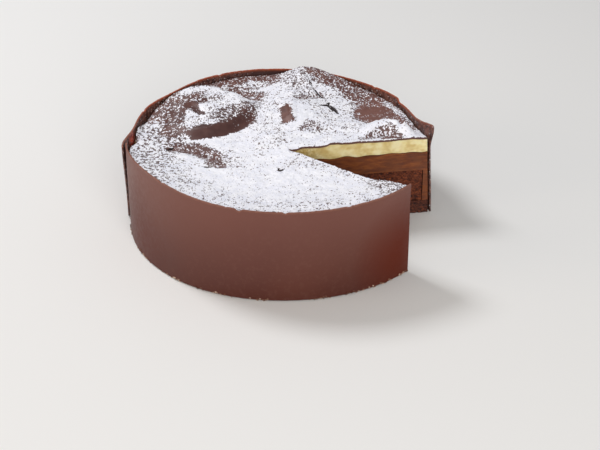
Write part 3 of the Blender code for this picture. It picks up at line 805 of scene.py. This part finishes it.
def band_strip(name, starts, ends, over):
    """The outer face of one band of the collar, with how far up each point lies."""
    steps = steps_round(starts[0], ends[0], BAND_SPACING)
    # The rows lie closer at the foot and near the rim, where the edges wear
    levels = np.concatenate([np.linspace(0, 0.03, 5)[:-1], np.linspace(0.03, 0.95, 46)[:-1],
                             np.linspace(0.95, 1, 11)])
    rows = []
    for level in levels:
        turns = np.linspace(slanted(starts, level), slanted(ends, level), steps + 1)
        z = COLLAR_FOOT + (rim_line(turns) - COLLAR_FOOT) * level
        radius = wall_radius(turns, z) + curl(turns, z)
        if over:
            radius = radius + lap(turns, z)
        angle = np.radians(turns)
        rows.append(np.stack([radius * np.cos(angle), radius * np.sin(angle), z], -1))
    grid = np.arange(len(levels) * (steps + 1)).reshape(len(levels), steps + 1)
    obj = new_object(name, np.array(rows).reshape(-1, 3), grid_faces(grid).tolist())
    level = np.repeat(levels, steps + 1)
    along = np.tile(shares(steps) * abs(ends[0] - starts[0]), len(levels))
    to_end = np.minimum(along, abs(ends[0] - starts[0]) - along) / THIN_END_DEG
    add_attribute(obj, "level", level)
    add_attribute(obj, "thin", np.maximum(smooth((level - 0.86) / 0.14), smooth(1 - to_end)))
    obj.data.shade_smooth()
    return obj


def add_node(tree, kind, values=None, links=None, **settings):
    """A node with its settings, its own values and the sockets that feed it."""
    node = tree.nodes.new(kind)
    for key, value in settings.items():
        setattr(node, key, value)
    for socket, value in (values or {}).items():
        node.inputs[socket].default_value = value
    for socket, source in (links or {}).items():
        tree.links.new(source, node.inputs[socket])
    return node


def new_tree(name, sizes):
    """A geometry tree with a number input for each size, and its inputs' sockets by name."""
    tree = bpy.data.node_groups.new(name, "GeometryNodeTree")
    tree.interface.new_socket("Geometry", in_out="INPUT", socket_type="NodeSocketGeometry")
    tree.interface.new_socket("Geometry", in_out="OUTPUT", socket_type="NodeSocketGeometry")
    for label, value in sizes.items():
        kind = "NodeSocketInt" if isinstance(value, int) else "NodeSocketFloat"
        socket = tree.interface.new_socket(label, in_out="INPUT", socket_type=kind)
        socket.default_value = value
    return tree, tree.nodes.new("NodeGroupInput").outputs


def close_tree(tree, geometry, material):
    real = add_node(tree, "GeometryNodeRealizeInstances", links={"Geometry": geometry})
    dressed = add_node(tree, "GeometryNodeSetMaterial", {"Material": material},
                       {"Geometry": real.outputs[0]})
    add_node(tree, "NodeGroupOutput", links={0: dressed.outputs[0]})


def grow(name, source, tree, sizes, keep_source=False):
    """Runs a geometry tree on an object and gives the plain mesh that it makes."""
    modifier = source.modifiers.new("grown", "NODES")
    modifier.node_group = tree
    for item in tree.interface.items_tree:
        if item.in_out == "INPUT" and item.name in sizes:
            modifier[item.identifier] = sizes[item.name]
    bpy.context.view_layer.update()
    depsgraph = bpy.context.evaluated_depsgraph_get()
    mesh = bpy.data.meshes.new_from_object(source.evaluated_get(depsgraph),
                                           preserve_all_data_layers=True, depsgraph=depsgraph)
    source.modifiers.remove(modifier)
    mesh.name = name
    obj = bpy.data.objects.new(name, mesh)
    bpy.context.scene.collection.objects.link(obj)
    if not keep_source:
        bpy.data.objects.remove(source, do_unlink=True)
    return obj


def field_math(tree, operation, *terms, clamp=False):
    """A math node over numbers and sockets."""
    node = tree.nodes.new("ShaderNodeMath")
    node.operation = operation
    node.use_clamp = clamp
    for socket, term in zip(node.inputs, terms):
        if isinstance(term, (int, float)):
            socket.default_value = term
        else:
            tree.links.new(term, socket)
    return node.outputs[0]


def times(tree, one, other):
    return field_math(tree, "MULTIPLY", one, other)


def mesh_field(tree, name):
    return add_node(tree, "GeometryNodeInputNamedAttribute", {"Name": name}).outputs["Attribute"]


def seeded_noise(tree, place, length, seed, values):
    """Noise whose bumps are about this long, which another seed moves elsewhere."""
    links = {"Vector": place, "Scale": field_math(tree, "DIVIDE", 1.0, length), "W": seed}
    return add_node(tree, "ShaderNodeTexNoise", values, links, noise_dimensions="4D").outputs[0]


def shift_points(tree, geometry, offset):
    links = {"Geometry": geometry, "Offset": offset}
    return add_node(tree, "GeometryNodeSetPosition", links=links).outputs[0]


def mark_faces(tree, name, geometry, chosen, value):
    """Keeps a number on the chosen faces under a name."""
    values, links = {"Name": name}, {"Geometry": geometry, "Selection": chosen}
    if isinstance(value, float):
        values["Value"] = value
    else:
        links["Value"] = value
    return add_node(tree, "GeometryNodeStoreNamedAttribute", values, links, data_type="FLOAT",
                    domain="FACE").outputs[0]


def by_chance(tree, seed, low, high):
    """A random vector between two others at each point."""
    return add_node(tree, "FunctionNodeRandomValue", {"Min": low, "Max": high}, {"Seed": seed},
                    data_type="FLOAT_VECTOR").outputs["Value"]


def strew(tree, points, radius, turns, scales, material, chosen=None):
    """Puts a small rounded grain on each point, turned and sized at random, and ends the tree."""
    grain = add_node(tree, "GeometryNodeMeshIcoSphere", {"Subdivisions": 1}, {"Radius": radius})
    links = {"Points": points, "Instance": grain.outputs["Mesh"], "Rotation": turns, "Scale": scales}
    if chosen is not None:
        links["Selection"] = chosen
    placed = add_node(tree, "GeometryNodeInstanceOnPoints", links=links)
    close_tree(tree, placed.outputs[0], material)


def band_tree(material):
    """Thickens a strip inwards, waves it a little and breaks its upper and lower edges."""
    sizes = {"Thickness": COLLAR_THICKNESS, "Thinning": 1 - THIN_SHARE, "Wave": 0.3 * MM,
             "Wave length": 26 * MM, "Edge wear": 0.7 * MM, "Wear length": 2.6 * MM,
             "Chip depth": 1.4 * MM, "Seed": 7.0}
    tree, size = new_tree("collar_band", sizes)
    place = add_node(tree, "GeometryNodeInputPosition").outputs[0]
    level = mesh_field(tree, "level")
    waves = seeded_noise(tree, place, size["Wave length"], size["Seed"], {"Detail": 2.0})
    sway = times(tree, times(tree, field_math(tree, "SUBTRACT", waves, 0.62), size["Wave"]), 2.0)
    normal = add_node(tree, "GeometryNodeInputNormal").outputs[0]
    push = add_node(tree, "ShaderNodeVectorMath", links={0: normal, "Scale": sway}, operation="SCALE")
    waved = shift_points(tree, size["Geometry"], push.outputs[0])
    ground = add_node(tree, "ShaderNodeVectorMath", {1: (1.0, 1.0, 0.0)}, {0: place}, operation="MULTIPLY")
    wear = seeded_noise(tree, ground.outputs[0], size["Wear length"], size["Seed"],
                        {"Detail": 3.0, "Roughness": 0.6})
    rub = times(tree, field_math(tree, "SUBTRACT", wear, 0.32, clamp=True), size["Edge wear"])
    bite = times(tree, field_math(tree, "SUBTRACT", wear, 0.66, clamp=True), 5.0)
    lost = field_math(tree, "ADD", rub, times(tree, bite, size["Chip depth"]))
    top = between(tree, level, 0.955, 1.0, kind="SMOOTHSTEP")
    foot = between(tree, level, 0.028, 0.0, kind="SMOOTHSTEP")
    down = times(tree, times(tree, lost, top), -1.0)
    lift = times(tree, times(tree, lost, foot), 0.45)
    shift = add_node(tree, "ShaderNodeCombineXYZ", links={"Z": field_math(tree, "ADD", down, lift)})
    worn = shift_points(tree, waved, shift.outputs[0])
    share = field_math(tree, "SUBTRACT", 1.0, times(tree, mesh_field(tree, "thin"), size["Thinning"]))
    inward = times(tree, times(tree, size["Thickness"], share), -1.0)
    thick = add_node(tree, "GeometryNodeExtrudeMesh", {"Individual": False}, {
        "Mesh": worn, "Offset Scale": inward}, mode="FACES").outputs
    broken = field_math(tree, "GREATER_THAN", level, 0.999)
    marked = mark_faces(tree, "edge", thick["Mesh"], thick["Side"], broken)
    ends = field_math(tree, "SUBTRACT", thick["Side"], broken, clamp=True)
    inside = field_math(tree, "MAXIMUM", thick["Top"], ends)
    lined = mark_faces(tree, "inner", marked, inside, 1.0)
    flipped = add_node(tree, "GeometryNodeFlipFaces", links={"Mesh": lined})
    joined = tree.nodes.new("GeometryNodeJoinGeometry")
    tree.links.new(worn, joined.inputs[0])
    tree.links.new(flipped.outputs[0], joined.inputs[0])
    welded = add_node(tree, "GeometryNodeMergeByDistance", {"Distance": 1e-6}, {
        "Geometry": joined.outputs[0]})
    close_tree(tree, welded.outputs[0], material)
    return tree, sizes


def cut_degrees(notch_deg):
    """The angle about the cake's axis at which a face of the notch meets the collar's foot."""
    turn = np.radians([float(notch_deg)])
    reach = fill_reach(turn, flat(0.0), wall_radius)[0]
    return float(bearing(*from_apex(reach, turn[0])))


def make_bands(material):
    tree, sizes = band_tree(material)
    cut_back, cut_front = cut_degrees(NOTCH_BACK_DEG), 360 + cut_degrees(NOTCH_FRONT_DEG)
    bands = []
    for name, starts, ends, over in (("back_band", (cut_back, cut_back), BACK_BAND_END, True),
                                     ("front_band", FRONT_BAND_START, (cut_front, cut_front), False)):
        strip = band_strip(name + "_strip", starts, ends, over)
        obj = grow(name, strip, tree, sizes)
        finish_mesh(obj)
        bands.append(obj)
    return bands


def linear(code):
    """The linear colour of an sRGB hex code."""
    parts = [int(code[i:i + 2], 16) / 255 for i in (1, 3, 5)]
    return (*(c / 12.92 if c <= 0.04045 else ((c + 0.055) / 1.055) ** 2.4 for c in parts), 1.0)


def new_material(name, colour, roughness, ior=1.45):
    material = bpy.data.materials.new(name)
    material.use_nodes = True
    tree = material.node_tree
    shader = tree.nodes["Principled BSDF"]
    shader.inputs["Base Color"].default_value = linear(colour)
    shader.inputs["Roughness"].default_value = roughness
    shader.inputs["IOR"].default_value = ior
    return material, tree, shader


def spots(tree, size, detail=2.0, roughness=0.5, stretch=None, seed=0.0):
    """Noise in the object's own space, with bumps of about this size in metres."""
    place = add_node(tree, "ShaderNodeTexCoord").outputs["Object"]
    if stretch or seed:
        moved = {"Scale": stretch or (1, 1, 1), "Location": (seed, seed * 0.7, seed * 1.3)}
        place = add_node(tree, "ShaderNodeMapping", moved, {"Vector": place}).outputs[0]
    noise = {"Scale": 1 / size, "Detail": detail, "Roughness": roughness}
    return add_node(tree, "ShaderNodeTexNoise", noise, {"Vector": place}).outputs[0]


def stops(tree, value, *colours):
    """A colour ramp through (place, hex code) stops."""
    ramp = tree.nodes.new("ShaderNodeValToRGB")
    tree.links.new(value, ramp.inputs[0])
    points = ramp.color_ramp.elements
    while len(points) < len(colours):
        points.new(0.5)
    for point, (at, code) in zip(points, colours):
        point.position = at
        point.color = linear(code)
    return ramp.outputs[0]


def between(tree, value, low, high, to_low=0.0, to_high=1.0, kind="LINEAR"):
    """Turns the range from low to high into another one, and holds its ends."""
    limits = {"From Min": low, "From Max": high, "To Min": to_low, "To Max": to_high}
    return add_node(tree, "ShaderNodeMapRange", limits, {"Value": value},
                    interpolation_type=kind).outputs[0]


def blend_colour(tree, share, one, other):
    """Mixes two colours, each a hex code or a socket, by a number or a socket."""
    node = tree.nodes.new("ShaderNodeMix")
    node.data_type = "RGBA"
    for index, source in ((0, share), (6, one), (7, other)):
        if isinstance(source, str):
            node.inputs[index].default_value = linear(source)
        elif isinstance(source, (int, float)):
            node.inputs[index].default_value = source
        else:
            tree.links.new(source, node.inputs[index])
    return node.outputs[2]


def own_field(tree, name):
    return add_node(tree, "ShaderNodeAttribute", attribute_name=name).outputs["Fac"]


def rough_up(tree, shader, height, strength, distance):
    bump = add_node(tree, "ShaderNodeBump", {"Strength": strength, "Distance": distance},
                    {"Height": height})
    tree.links.new(bump.outputs[0], shader.inputs["Normal"])


def feed(tree, shader, socket, source):
    tree.links.new(source, shader.inputs[socket])


def along_axis(tree, axis):
    place = add_node(tree, "ShaderNodeTexCoord").outputs["Object"]
    return add_node(tree, "ShaderNodeSeparateXYZ", links={0: place}).outputs[axis]


def near_point(tree, point, reach, soft):
    """1 within a reach of a point given in millimetres, falling to 0 over a soft edge."""
    place = add_node(tree, "ShaderNodeTexCoord").outputs["Object"]
    metres = tuple(value * MM for value in point)
    off = add_node(tree, "ShaderNodeVectorMath", {1: metres}, {0: place}, operation="DISTANCE")
    return between(tree, off.outputs["Value"], (reach + soft) * MM, reach * MM)


def collar_chocolate():
    """Tempered dark chocolate: a satin brown with a painted, cooler sheen towards its upper edge,
    a painted warm reflection low down at both ends of the front, paler where the rim broke or is
    rubbed, with a painted red glow through the thin rim at the back and just under it inside, and
    mottled inside with painted shade and a few specks of sugar. Light glows through where it is thin."""
    material, tree, shader = new_material("tempered_dark_chocolate", "#4a2b24", 0.45, 1.42)
    cloud = spots(tree, 60 * MM, 1.0)
    mottle = spots(tree, 2.6 * MM, 3.0, 0.6, seed=0.4)
    x, up = along_axis(tree, "X"), between(tree, along_axis(tree, "Z"), 2 * MM, 56 * MM)
    base = stops(tree, cloud, (0.4, "#4c1d10"), (0.6, "#532416"))
    # Painted sheen: the outer face is painted lighter and cooler towards its upper edge and away from the
    # middle, where the light catches it
    off_middle = field_math(tree, "ABSOLUTE", field_math(tree, "ADD", x, -8 * MM))
    painted_sheen = times(tree, up, between(tree, off_middle, 20 * MM, 85 * MM, 0.66, 1.0))
    tone = blend_colour(tree, painted_sheen, base, "#75493f")
    streak = between(tree, mottle, 0.5, 0.72, 0.0, 0.2)
    tone = blend_colour(tree, streak, tone, "#734c42")
    # Painted warm reflection, as of a wooden board, low down at both ends of the front; it also tints the
    # specular reflection
    warm = near_point(tree, (72, -70, 18), 10, 32)
    warm_reflection_left = near_point(tree, (-92, -40, 12), 8, 30)
    warm = field_math(tree, "MAXIMUM", warm, times(tree, warm_reflection_left, 0.5))
    tone = blend_colour(tree, times(tree, warm, 0.9), tone, "#5c1c06")
    feed(tree, shader, "Specular Tint", blend_colour(tree, warm, "#ffffff", "#7a3c1c"))
    inner = own_field(tree, "inner")
    specks = between(tree, spots(tree, 1.1 * MM, 3.0, 0.6, seed=1.7), 0.62, 0.66)
    aside = between(tree, field_math(tree, "ABSOLUTE", x), 10 * MM, 60 * MM)
    # Painted shade: the inner face is painted dark near the middle, where it lies in shade, and mottled
    # paler towards the sides
    shaded_lining = blend_colour(tree, times(tree, aside, between(tree, mottle, 0.4, 0.62)), "#3a1f1c", "#7a5146")
    # Painted glow: the inner face is painted red just under the rim, where light shines through the
    # thinned edge
    under_rim_glow = between(tree, own_field(tree, "level"), 0.965, 0.992, 0.0, 0.6)
    shaded_lining = blend_colour(tree, under_rim_glow, shaded_lining, "#8a4630")
    dusty = times(tree, specks, aside)
    tone = blend_colour(tree, inner, tone, blend_colour(tree, dusty, shaded_lining, "#d6d0d1"))
    thin = times(tree, inner, near_point(tree, THIN_SPOT, 1.5, 4.5))
    thin = times(tree, thin, between(tree, mottle, 0.38, 0.6, 0.25, 1.0))
    crumbly = between(tree, spots(tree, 1.6 * MM, 2.0, seed=0.9), 0.4, 0.6, 0.45, 1.0)
    rubbed = between(tree, own_field(tree, "level"), 0.982, 0.997, 0.0, 0.6)
    edge = field_math(tree, "MAXIMUM", own_field(tree, "edge"), rubbed)
    torn = times(tree, edge, crumbly)
    # The rim is paler where it broke or is rubbed, the chocolate's own colour; the redder tone at the back
    # is a painted glow of light through the thin edge
    back_rim_glow = between(tree, along_axis(tree, "Y"), -10 * MM, 40 * MM)
    rim = blend_colour(tree, back_rim_glow, "#90604f", "#b05634")
    feed(tree, shader, "Base Color", blend_colour(tree, torn, tone, rim))
    shader.inputs["Emission Color"].default_value = linear("#c0300a")
    feed(tree, shader, "Emission Strength", times(tree, thin, 0.34))
    feed(tree, shader, "Roughness", between(tree, mottle, 0.35, 0.7, 0.42, 0.54))
    rough_up(tree, shader, mottle, 0.2, 0.1 * MM)
    return material


def sheet_chocolate():
    """A thin sheet of dark chocolate under icing sugar: white, matt grains in dense drifts over
    brown, and single specks where the sugar runs out. The brown carries painted shade under the
    hood and in the gaps between grains, a painted highlight where it faces the light and painted
    near-black shade in the tears."""
    material, tree, shader = new_material("sugar_dusted_chocolate", "#4c2f2a", 0.5, 1.46)
    cover = own_field(tree, "sugar")
    fine = spots(tree, 1.0 * MM, 2.0, 0.55, (1, 0.8, 1))
    coarse = spots(tree, 1.9 * MM, 2.0, 0.55, (1, 0.8, 1), seed=0.8)
    drift = spots(tree, 6 * MM, 2.0, 0.5, seed=0.3)
    finer = between(tree, along_axis(tree, "X"), -92 * MM, -58 * MM, 0.3, 0.6)
    mixed = field_math(tree, "MULTIPLY_ADD", field_math(tree, "SUBTRACT", fine, coarse), finer, coarse)
    over = field_math(tree, "SUBTRACT", mixed, own_field(tree, "speckle"))
    mask = field_math(tree, "MULTIPLY_ADD", over, 32.0, 0.5, clamp=True)
    mask = times(tree, mask, between(tree, cover, 0.01, 0.06))
    film = times(tree, between(tree, cover, 0.02, 0.6), 0.2)
    brown = stops(tree, drift, (0.36, "#56322b"), (0.52, "#633e36"), (0.66, "#704a41"))
    # Painted shade: the brown is painted darker under the hood's overhang
    painted_hood_shade = near_point(tree, (-44, 18, 58), 16, 26)
    brown = blend_colour(tree, times(tree, painted_hood_shade, 0.6), brown, "#3d2625")
    facing_light = near_point(tree, (62, 38, 52), 14, 18)
    brown = blend_colour(tree, times(tree, facing_light, 0.45), brown, "#8c5f54")
    # Painted shade in the gaps between sugar grains: the brown is painted darker where the sugar is fairly
    # dense
    brown = blend_colour(tree, between(tree, cover, 0.15, 0.55, 0.0, 0.75), brown, "#33201f")
    dusted = blend_colour(tree, film, brown, "#a8989a")
    white = stops(tree, spots(tree, 7 * MM, 2.0, seed=0.6), (0.35, "#eceef8"), (0.65, "#f8f9ff"))
    tone = blend_colour(tree, mask, dusted, white)
    # Painted shade inside the tears, near black
    painted_tear_shade = between(tree, own_field(tree, "tear"), 0.1, 0.45)
    feed(tree, shader, "Base Color", blend_colour(tree, painted_tear_shade, tone, "#1f0f0e"))
    feed(tree, shader, "Roughness", between(tree, mask, 0.0, 1.0, 0.5, 0.95))
    rough_up(tree, shader, mixed, 0.5, 0.35 * MM)
    return material


def icing_sugar():
    """Loose grains and small clumps of icing sugar, white and quite matt."""
    material, _, _ = new_material("icing_sugar", "#f1f2f6", 0.95, 1.5)
    return material


def pale_cream():
    """A pale yellow cream filling, satin, with soft paler and deeper blotches, painted brown shade
    near the apex of the notch and painted shade in its deepest knife drags."""
    material, tree, shader = new_material("pale_cream", "#e6dca6", 0.42, 1.45)
    blotch = spots(tree, 6 * MM, 2.0, 0.5, (1, 1, 1.4))
    fine = spots(tree, 1.1 * MM, 2.0, 0.5, seed=0.2)
    tone = stops(tree, blotch, (0.34, "#d8c080"), (0.5, "#e8d79c"), (0.64, "#f2e7b8"))
    # Painted shade in the notch's corner, mottled
    painted_apex_shade = near_point(tree, (8, -12, 47), 5, 16)
    painted_apex_shade = times(tree, painted_apex_shade, between(tree, fine, 0.38, 0.62, 0.35, 0.9))
    tone = blend_colour(tree, painted_apex_shade, tone, "#a8894a")
    # Painted shade in the deepest knife drags, where the relief is set back most
    pores = between(tree, own_field(tree, "drag"), 0.45, 0.9, 0.0, 0.4)
    feed(tree, shader, "Base Color", blend_colour(tree, pores, tone, "#b3935a"))
    shader.inputs["Subsurface Weight"].default_value = 0.25
    shader.inputs["Subsurface Radius"].default_value = (0.9, 0.7, 0.35)
    shader.inputs["Subsurface Scale"].default_value = 2 * MM
    rough_up(tree, shader, fine, 0.3, 0.2 * MM)
    return material


def chocolate_mousse():
    """Chocolate mousse: warm brown, soft, with the fine lines that a knife drags through it, and
    painted dark shade in its deepest holes.
    """
    material, tree, shader = new_material("chocolate_mousse", "#5b2e16", 0.5, 1.45)
    lines = spots(tree, 2.4 * MM, 3.0, 0.6, (0.22, 0.22, 1.0))
    blotch = spots(tree, 7 * MM, 2.0, seed=0.5)
    tone = stops(tree, lines, (0.36, "#58290e"), (0.52, "#6e3512"), (0.66, "#86481a"))
    tone = blend_colour(tree, between(tree, blotch, 0.45, 0.65, 0.0, 0.4), tone, "#7a421a")
    # Painted shade in the deepest holes, where the relief is set back most
    holes = between(tree, own_field(tree, "smear"), 0.6, 1.0, 0.0, 0.6)
    feed(tree, shader, "Base Color", blend_colour(tree, holes, tone, "#351709"))
    rough_up(tree, shader, lines, 0.35, 0.25 * MM)
    return material


def torn_sponge(name, colour, roughness, grain, tones, pores, pore_shade_colour, bump):
    """A matt crumb of mixed browns, with painted dark shade in the pores where the relief is deep."""
    material, tree, shader = new_material(name, colour, roughness, 1.4)
    crumb = spots(tree, *grain)
    # Painted shade: the crumb is painted dark where the relief is set back deepest
    deep = between(tree, own_field(tree, "pore"), *pores)
    feed(tree, shader, "Base Color", blend_colour(tree, deep, stops(tree, crumb, *tones), pore_shade_colour))
    rough_up(tree, shader, crumb, *bump)
    return material


def open_sponge():
    """Torn chocolate sponge: a reddish brown crumb with painted near-black shade in its pores."""
    return torn_sponge("open_chocolate_sponge", "#5a2c1a", 0.85, (1.3 * MM, 4.0, 0.65, (1, 1, 1.5)),
                       ((0.36, "#441f15"), (0.5, "#632f1c"), (0.66, "#8a4826")), (1.1, 2.0), "#331816",
                       (0.7, 0.5 * MM))


def dense_sponge():
    """The moist, dense sponge of the base: dark, fine-pored and matt."""
    return torn_sponge("dense_base_sponge", "#4a2317", 0.8, (1.0 * MM, 4.0, 0.6, (1, 1, 1.3)),
                       ((0.36, "#2e150f"), (0.5, "#4d2418"), (0.66, "#6f3a24")), (0.5, 0.95), "#170b0c",
                       (0.6, 0.4 * MM))


def chipped_chocolate():
    """Small chips off the collar's foot in browns with pale patches at random: partly the paler colour of
    broken chocolate, partly painted highlight.
    """
    material, tree, shader = new_material("chipped_chocolate", "#8a6450", 0.6, 1.46)
    # The palest stop is partly painted highlight
    feed(tree, shader, "Base Color", stops(tree, spots(tree, 3 * MM, 2.0), (0.38, "#5a3526"),
                                           (0.52, "#8a6753"), (0.64, "#c3aa96")))
    return material


def grain_tree(sizes, material):
    """Small rounded grains over a surface, the closer the more sugar covers it."""
    tree, size = new_tree("sugar_grains", sizes)
    weight = mesh_field(tree, "sugar")
    amount = times(tree, weight, size["Grains a square metre"])
    normal = add_node(tree, "GeometryNodeInputNormal").outputs[0]
    rise = add_node(tree, "ShaderNodeSeparateXYZ", links={0: normal}).outputs["Z"]
    chosen = times(tree, field_math(tree, "GREATER_THAN", weight, 0.02),
                   field_math(tree, "GREATER_THAN", rise, 0.25))
    points = add_node(tree, "GeometryNodeDistributePointsOnFaces", links={
        "Mesh": size["Geometry"], "Density": amount, "Selection": chosen, "Seed": size["Seed"]})
    turns = by_chance(tree, size["Seed"], (-0.5, -0.5, -3.1), (0.5, 0.5, 3.1))
    scales = by_chance(tree, size["Seed"], (0.6, 0.6, 0.45), (1.35, 1.35, 1.0))
    strew(tree, points.outputs["Points"], size["Grain radius"], turns, scales, material)
    return tree


def inside_box(obj):
    """Keeps the grains and chips within the cake's own outline."""
    count = len(obj.data.vertices)
    co = np.zeros(count * 3)
    obj.data.vertices.foreach_get("co", co)
    co = np.clip(co.reshape(-1, 3), np.array(CAD_BOX[0]), np.array(CAD_BOX[1]))
    obj.data.vertices.foreach_set("co", co.ravel())
    obj.data.update()


def make_grains(sheet, material):
    sizes = {"Grains a square metre": 0.42e6, "Grain radius": 0.34 * MM, "Seed": 4}
    obj = grow("sugar_grains", sheet, grain_tree(sizes, material), sizes, keep_source=True)
    inside_box(obj)
    return obj


def foot_line():
    """A line of edges round the collar's foot, a little way up it."""
    steps = steps_round(CHIPS_FROM_DEG, CHIPS_TO_DEG, CHIP_LINE_SPACING)
    turns = np.linspace(CHIPS_FROM_DEG, CHIPS_TO_DEG, steps + 1)
    z = np.full_like(turns, CHIP_LINE_HEIGHT)
    radius = wall_radius(turns, z) - CHIP_LINE_INSET
    angle = np.radians(turns)
    verts = np.stack([radius * np.cos(angle), radius * np.sin(angle), z], -1)
    return new_object("foot_line", verts, [], edges=[(i, i + 1) for i in range(steps)])


def chip_tree(sizes, material):
    """Chips along a line, in patches, each turned and sized at random."""
    tree, size = new_tree("foot_chips", sizes)
    curve = add_node(tree, "GeometryNodeMeshToCurve", links={0: size["Geometry"]})
    points = add_node(tree, "GeometryNodeCurveToPoints", links={
        "Curve": curve.outputs[0], "Length": size["Spacing"]}, mode="LENGTH")
    place = add_node(tree, "GeometryNodeInputPosition").outputs[0]
    patch = add_node(tree, "ShaderNodeTexNoise", {"Detail": 2.0}, {
        "Vector": place, "Scale": field_math(tree, "DIVIDE", 1.0, size["Patch length"])})
    luck = add_node(tree, "FunctionNodeRandomValue", {"Min": 0.42, "Max": 0.66}, {"Seed": size["Seed"]},
                    data_type="FLOAT")
    shown = field_math(tree, "GREATER_THAN", patch.outputs[0], luck.outputs["Value"])
    jump = by_chance(tree, size["Seed"], (-0.3 * MM, -0.3 * MM, -0.6 * MM), (0.3 * MM, 0.3 * MM, 0.8 * MM))
    moved = shift_points(tree, points.outputs["Points"], jump)
    turns = by_chance(tree, size["Seed"], (-1, -1, -3), (1, 1, 3))
    scales = by_chance(tree, size["Seed"], (0.3, 0.3, 0.25), (1.3, 0.8, 0.9))
    strew(tree, moved, size["Chip radius"], turns, scales, material, shown)
    return tree


def make_chips(material):
    sizes = {"Spacing": 0.7 * MM, "Chip radius": 0.8 * MM, "Patch length": 11 * MM, "Seed": 3}
    obj = grow("foot_chips", foot_line(), chip_tree(sizes, material), sizes)
    inside_box(obj)
    return obj


def stand_ready(obj, slot_name, *nodes):
    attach(obj, "root")
    if nodes:
        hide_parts(*nodes)


def soft_light(name, place, power, size, colour):
    light = bpy.data.lights.new(name, "AREA")
    light.energy = power
    light.shape = "DISK"
    light.size = size
    light.color = linear(colour)[:3]
    obj = bpy.data.objects.new(name, light)
    bpy.context.scene.collection.objects.link(obj)
    obj.location = place
    obj.rotation_euler = (Vector(LAMP_TARGET) - Vector(place)).to_track_quat("-Z", "Y").to_euler()
    return obj


def make_studio():
    """A pale floor, three lamps and a pale sky."""
    material, _, _ = new_material("pale_floor", "#ececea", 0.8)
    far = FLOOR_HALF_WIDTH
    floor = new_object("floor", [(-far, -far, 0), (far, -far, 0), (far, far, 0), (-far, far, 0)],
                       [(0, 1, 2, 3)], material)
    floor.location.z = -FLOOR_DROP
    lights = [soft_light(*lamp) for lamp in LAMPS]
    world = bpy.data.worlds.new("studio")
    world.use_nodes = True
    sky = world.node_tree.nodes["Background"]
    sky.inputs[0].default_value = linear(SKY_COLOUR)
    sky.inputs[1].default_value = SKY_STRENGTH
    bpy.context.scene.world = world
    bpy.context.scene.view_settings.view_transform = "Standard"


def make_camera():
    data = bpy.data.cameras.new("camera")
    data.lens = LENS_MM
    data.sensor_width = SENSOR_MM
    data.clip_start, data.clip_end = 0.01, 20
    camera = bpy.data.objects.new("camera", data)
    bpy.context.scene.collection.objects.link(camera)
    place = Vector(CAMERA_PLACE)
    aim = (Vector(CAMERA_TARGET) - place).to_track_quat("-Z", "Y").to_matrix().to_4x4()
    roll = Matrix.Rotation(math.radians(CAMERA_ROLL_DEG), 4, "Z")
    camera.matrix_world = Matrix.Translation(place) @ aim @ roll
    bpy.context.scene.camera = camera


def main():
    sheet = make_sheet(sheet_chocolate())
    cream = make_layer("cream_layer", pale_cream(), spread(MOUSSE_TOP + GAP), cream_lid, inside_hem,
                       (110, 190, 18), cream_relief, "drag")
    mousse = make_mousse(chocolate_mousse())
    sponge = make_layer("sponge_layer", open_sponge(), flat(BASE_TOP + GAP), flat(SPONGE_TOP),
                        upright(SPONGE_RADIUS), (60, 215, 50), sponge_relief, "pore")
    base = make_layer("base_layer", dense_sponge(), flat(0.0), flat(BASE_TOP), inside_collar,
                      (90, 200, 22), base_relief, "pore")
    back_band, front_band = make_bands(collar_chocolate())
    grains = make_grains(sheet, icing_sugar())
    chips = make_chips(chipped_chocolate())
    stand_ready(sheet, "sugared_sheet", "top_sheet")
    stand_ready(cream, "cream", "cream")
    stand_ready(mousse, "mousse", "mousse")
    stand_ready(sponge, "sponge", "sponge")
    stand_ready(base, "base_sponge", "base_sponge")
    stand_ready(back_band, "dark_chocolate", "collar_back")
    stand_ready(front_band, "dark_chocolate", "collar_front")
    stand_ready(grains, None)
    stand_ready(chips, None)
    make_studio()
    make_camera()


main()
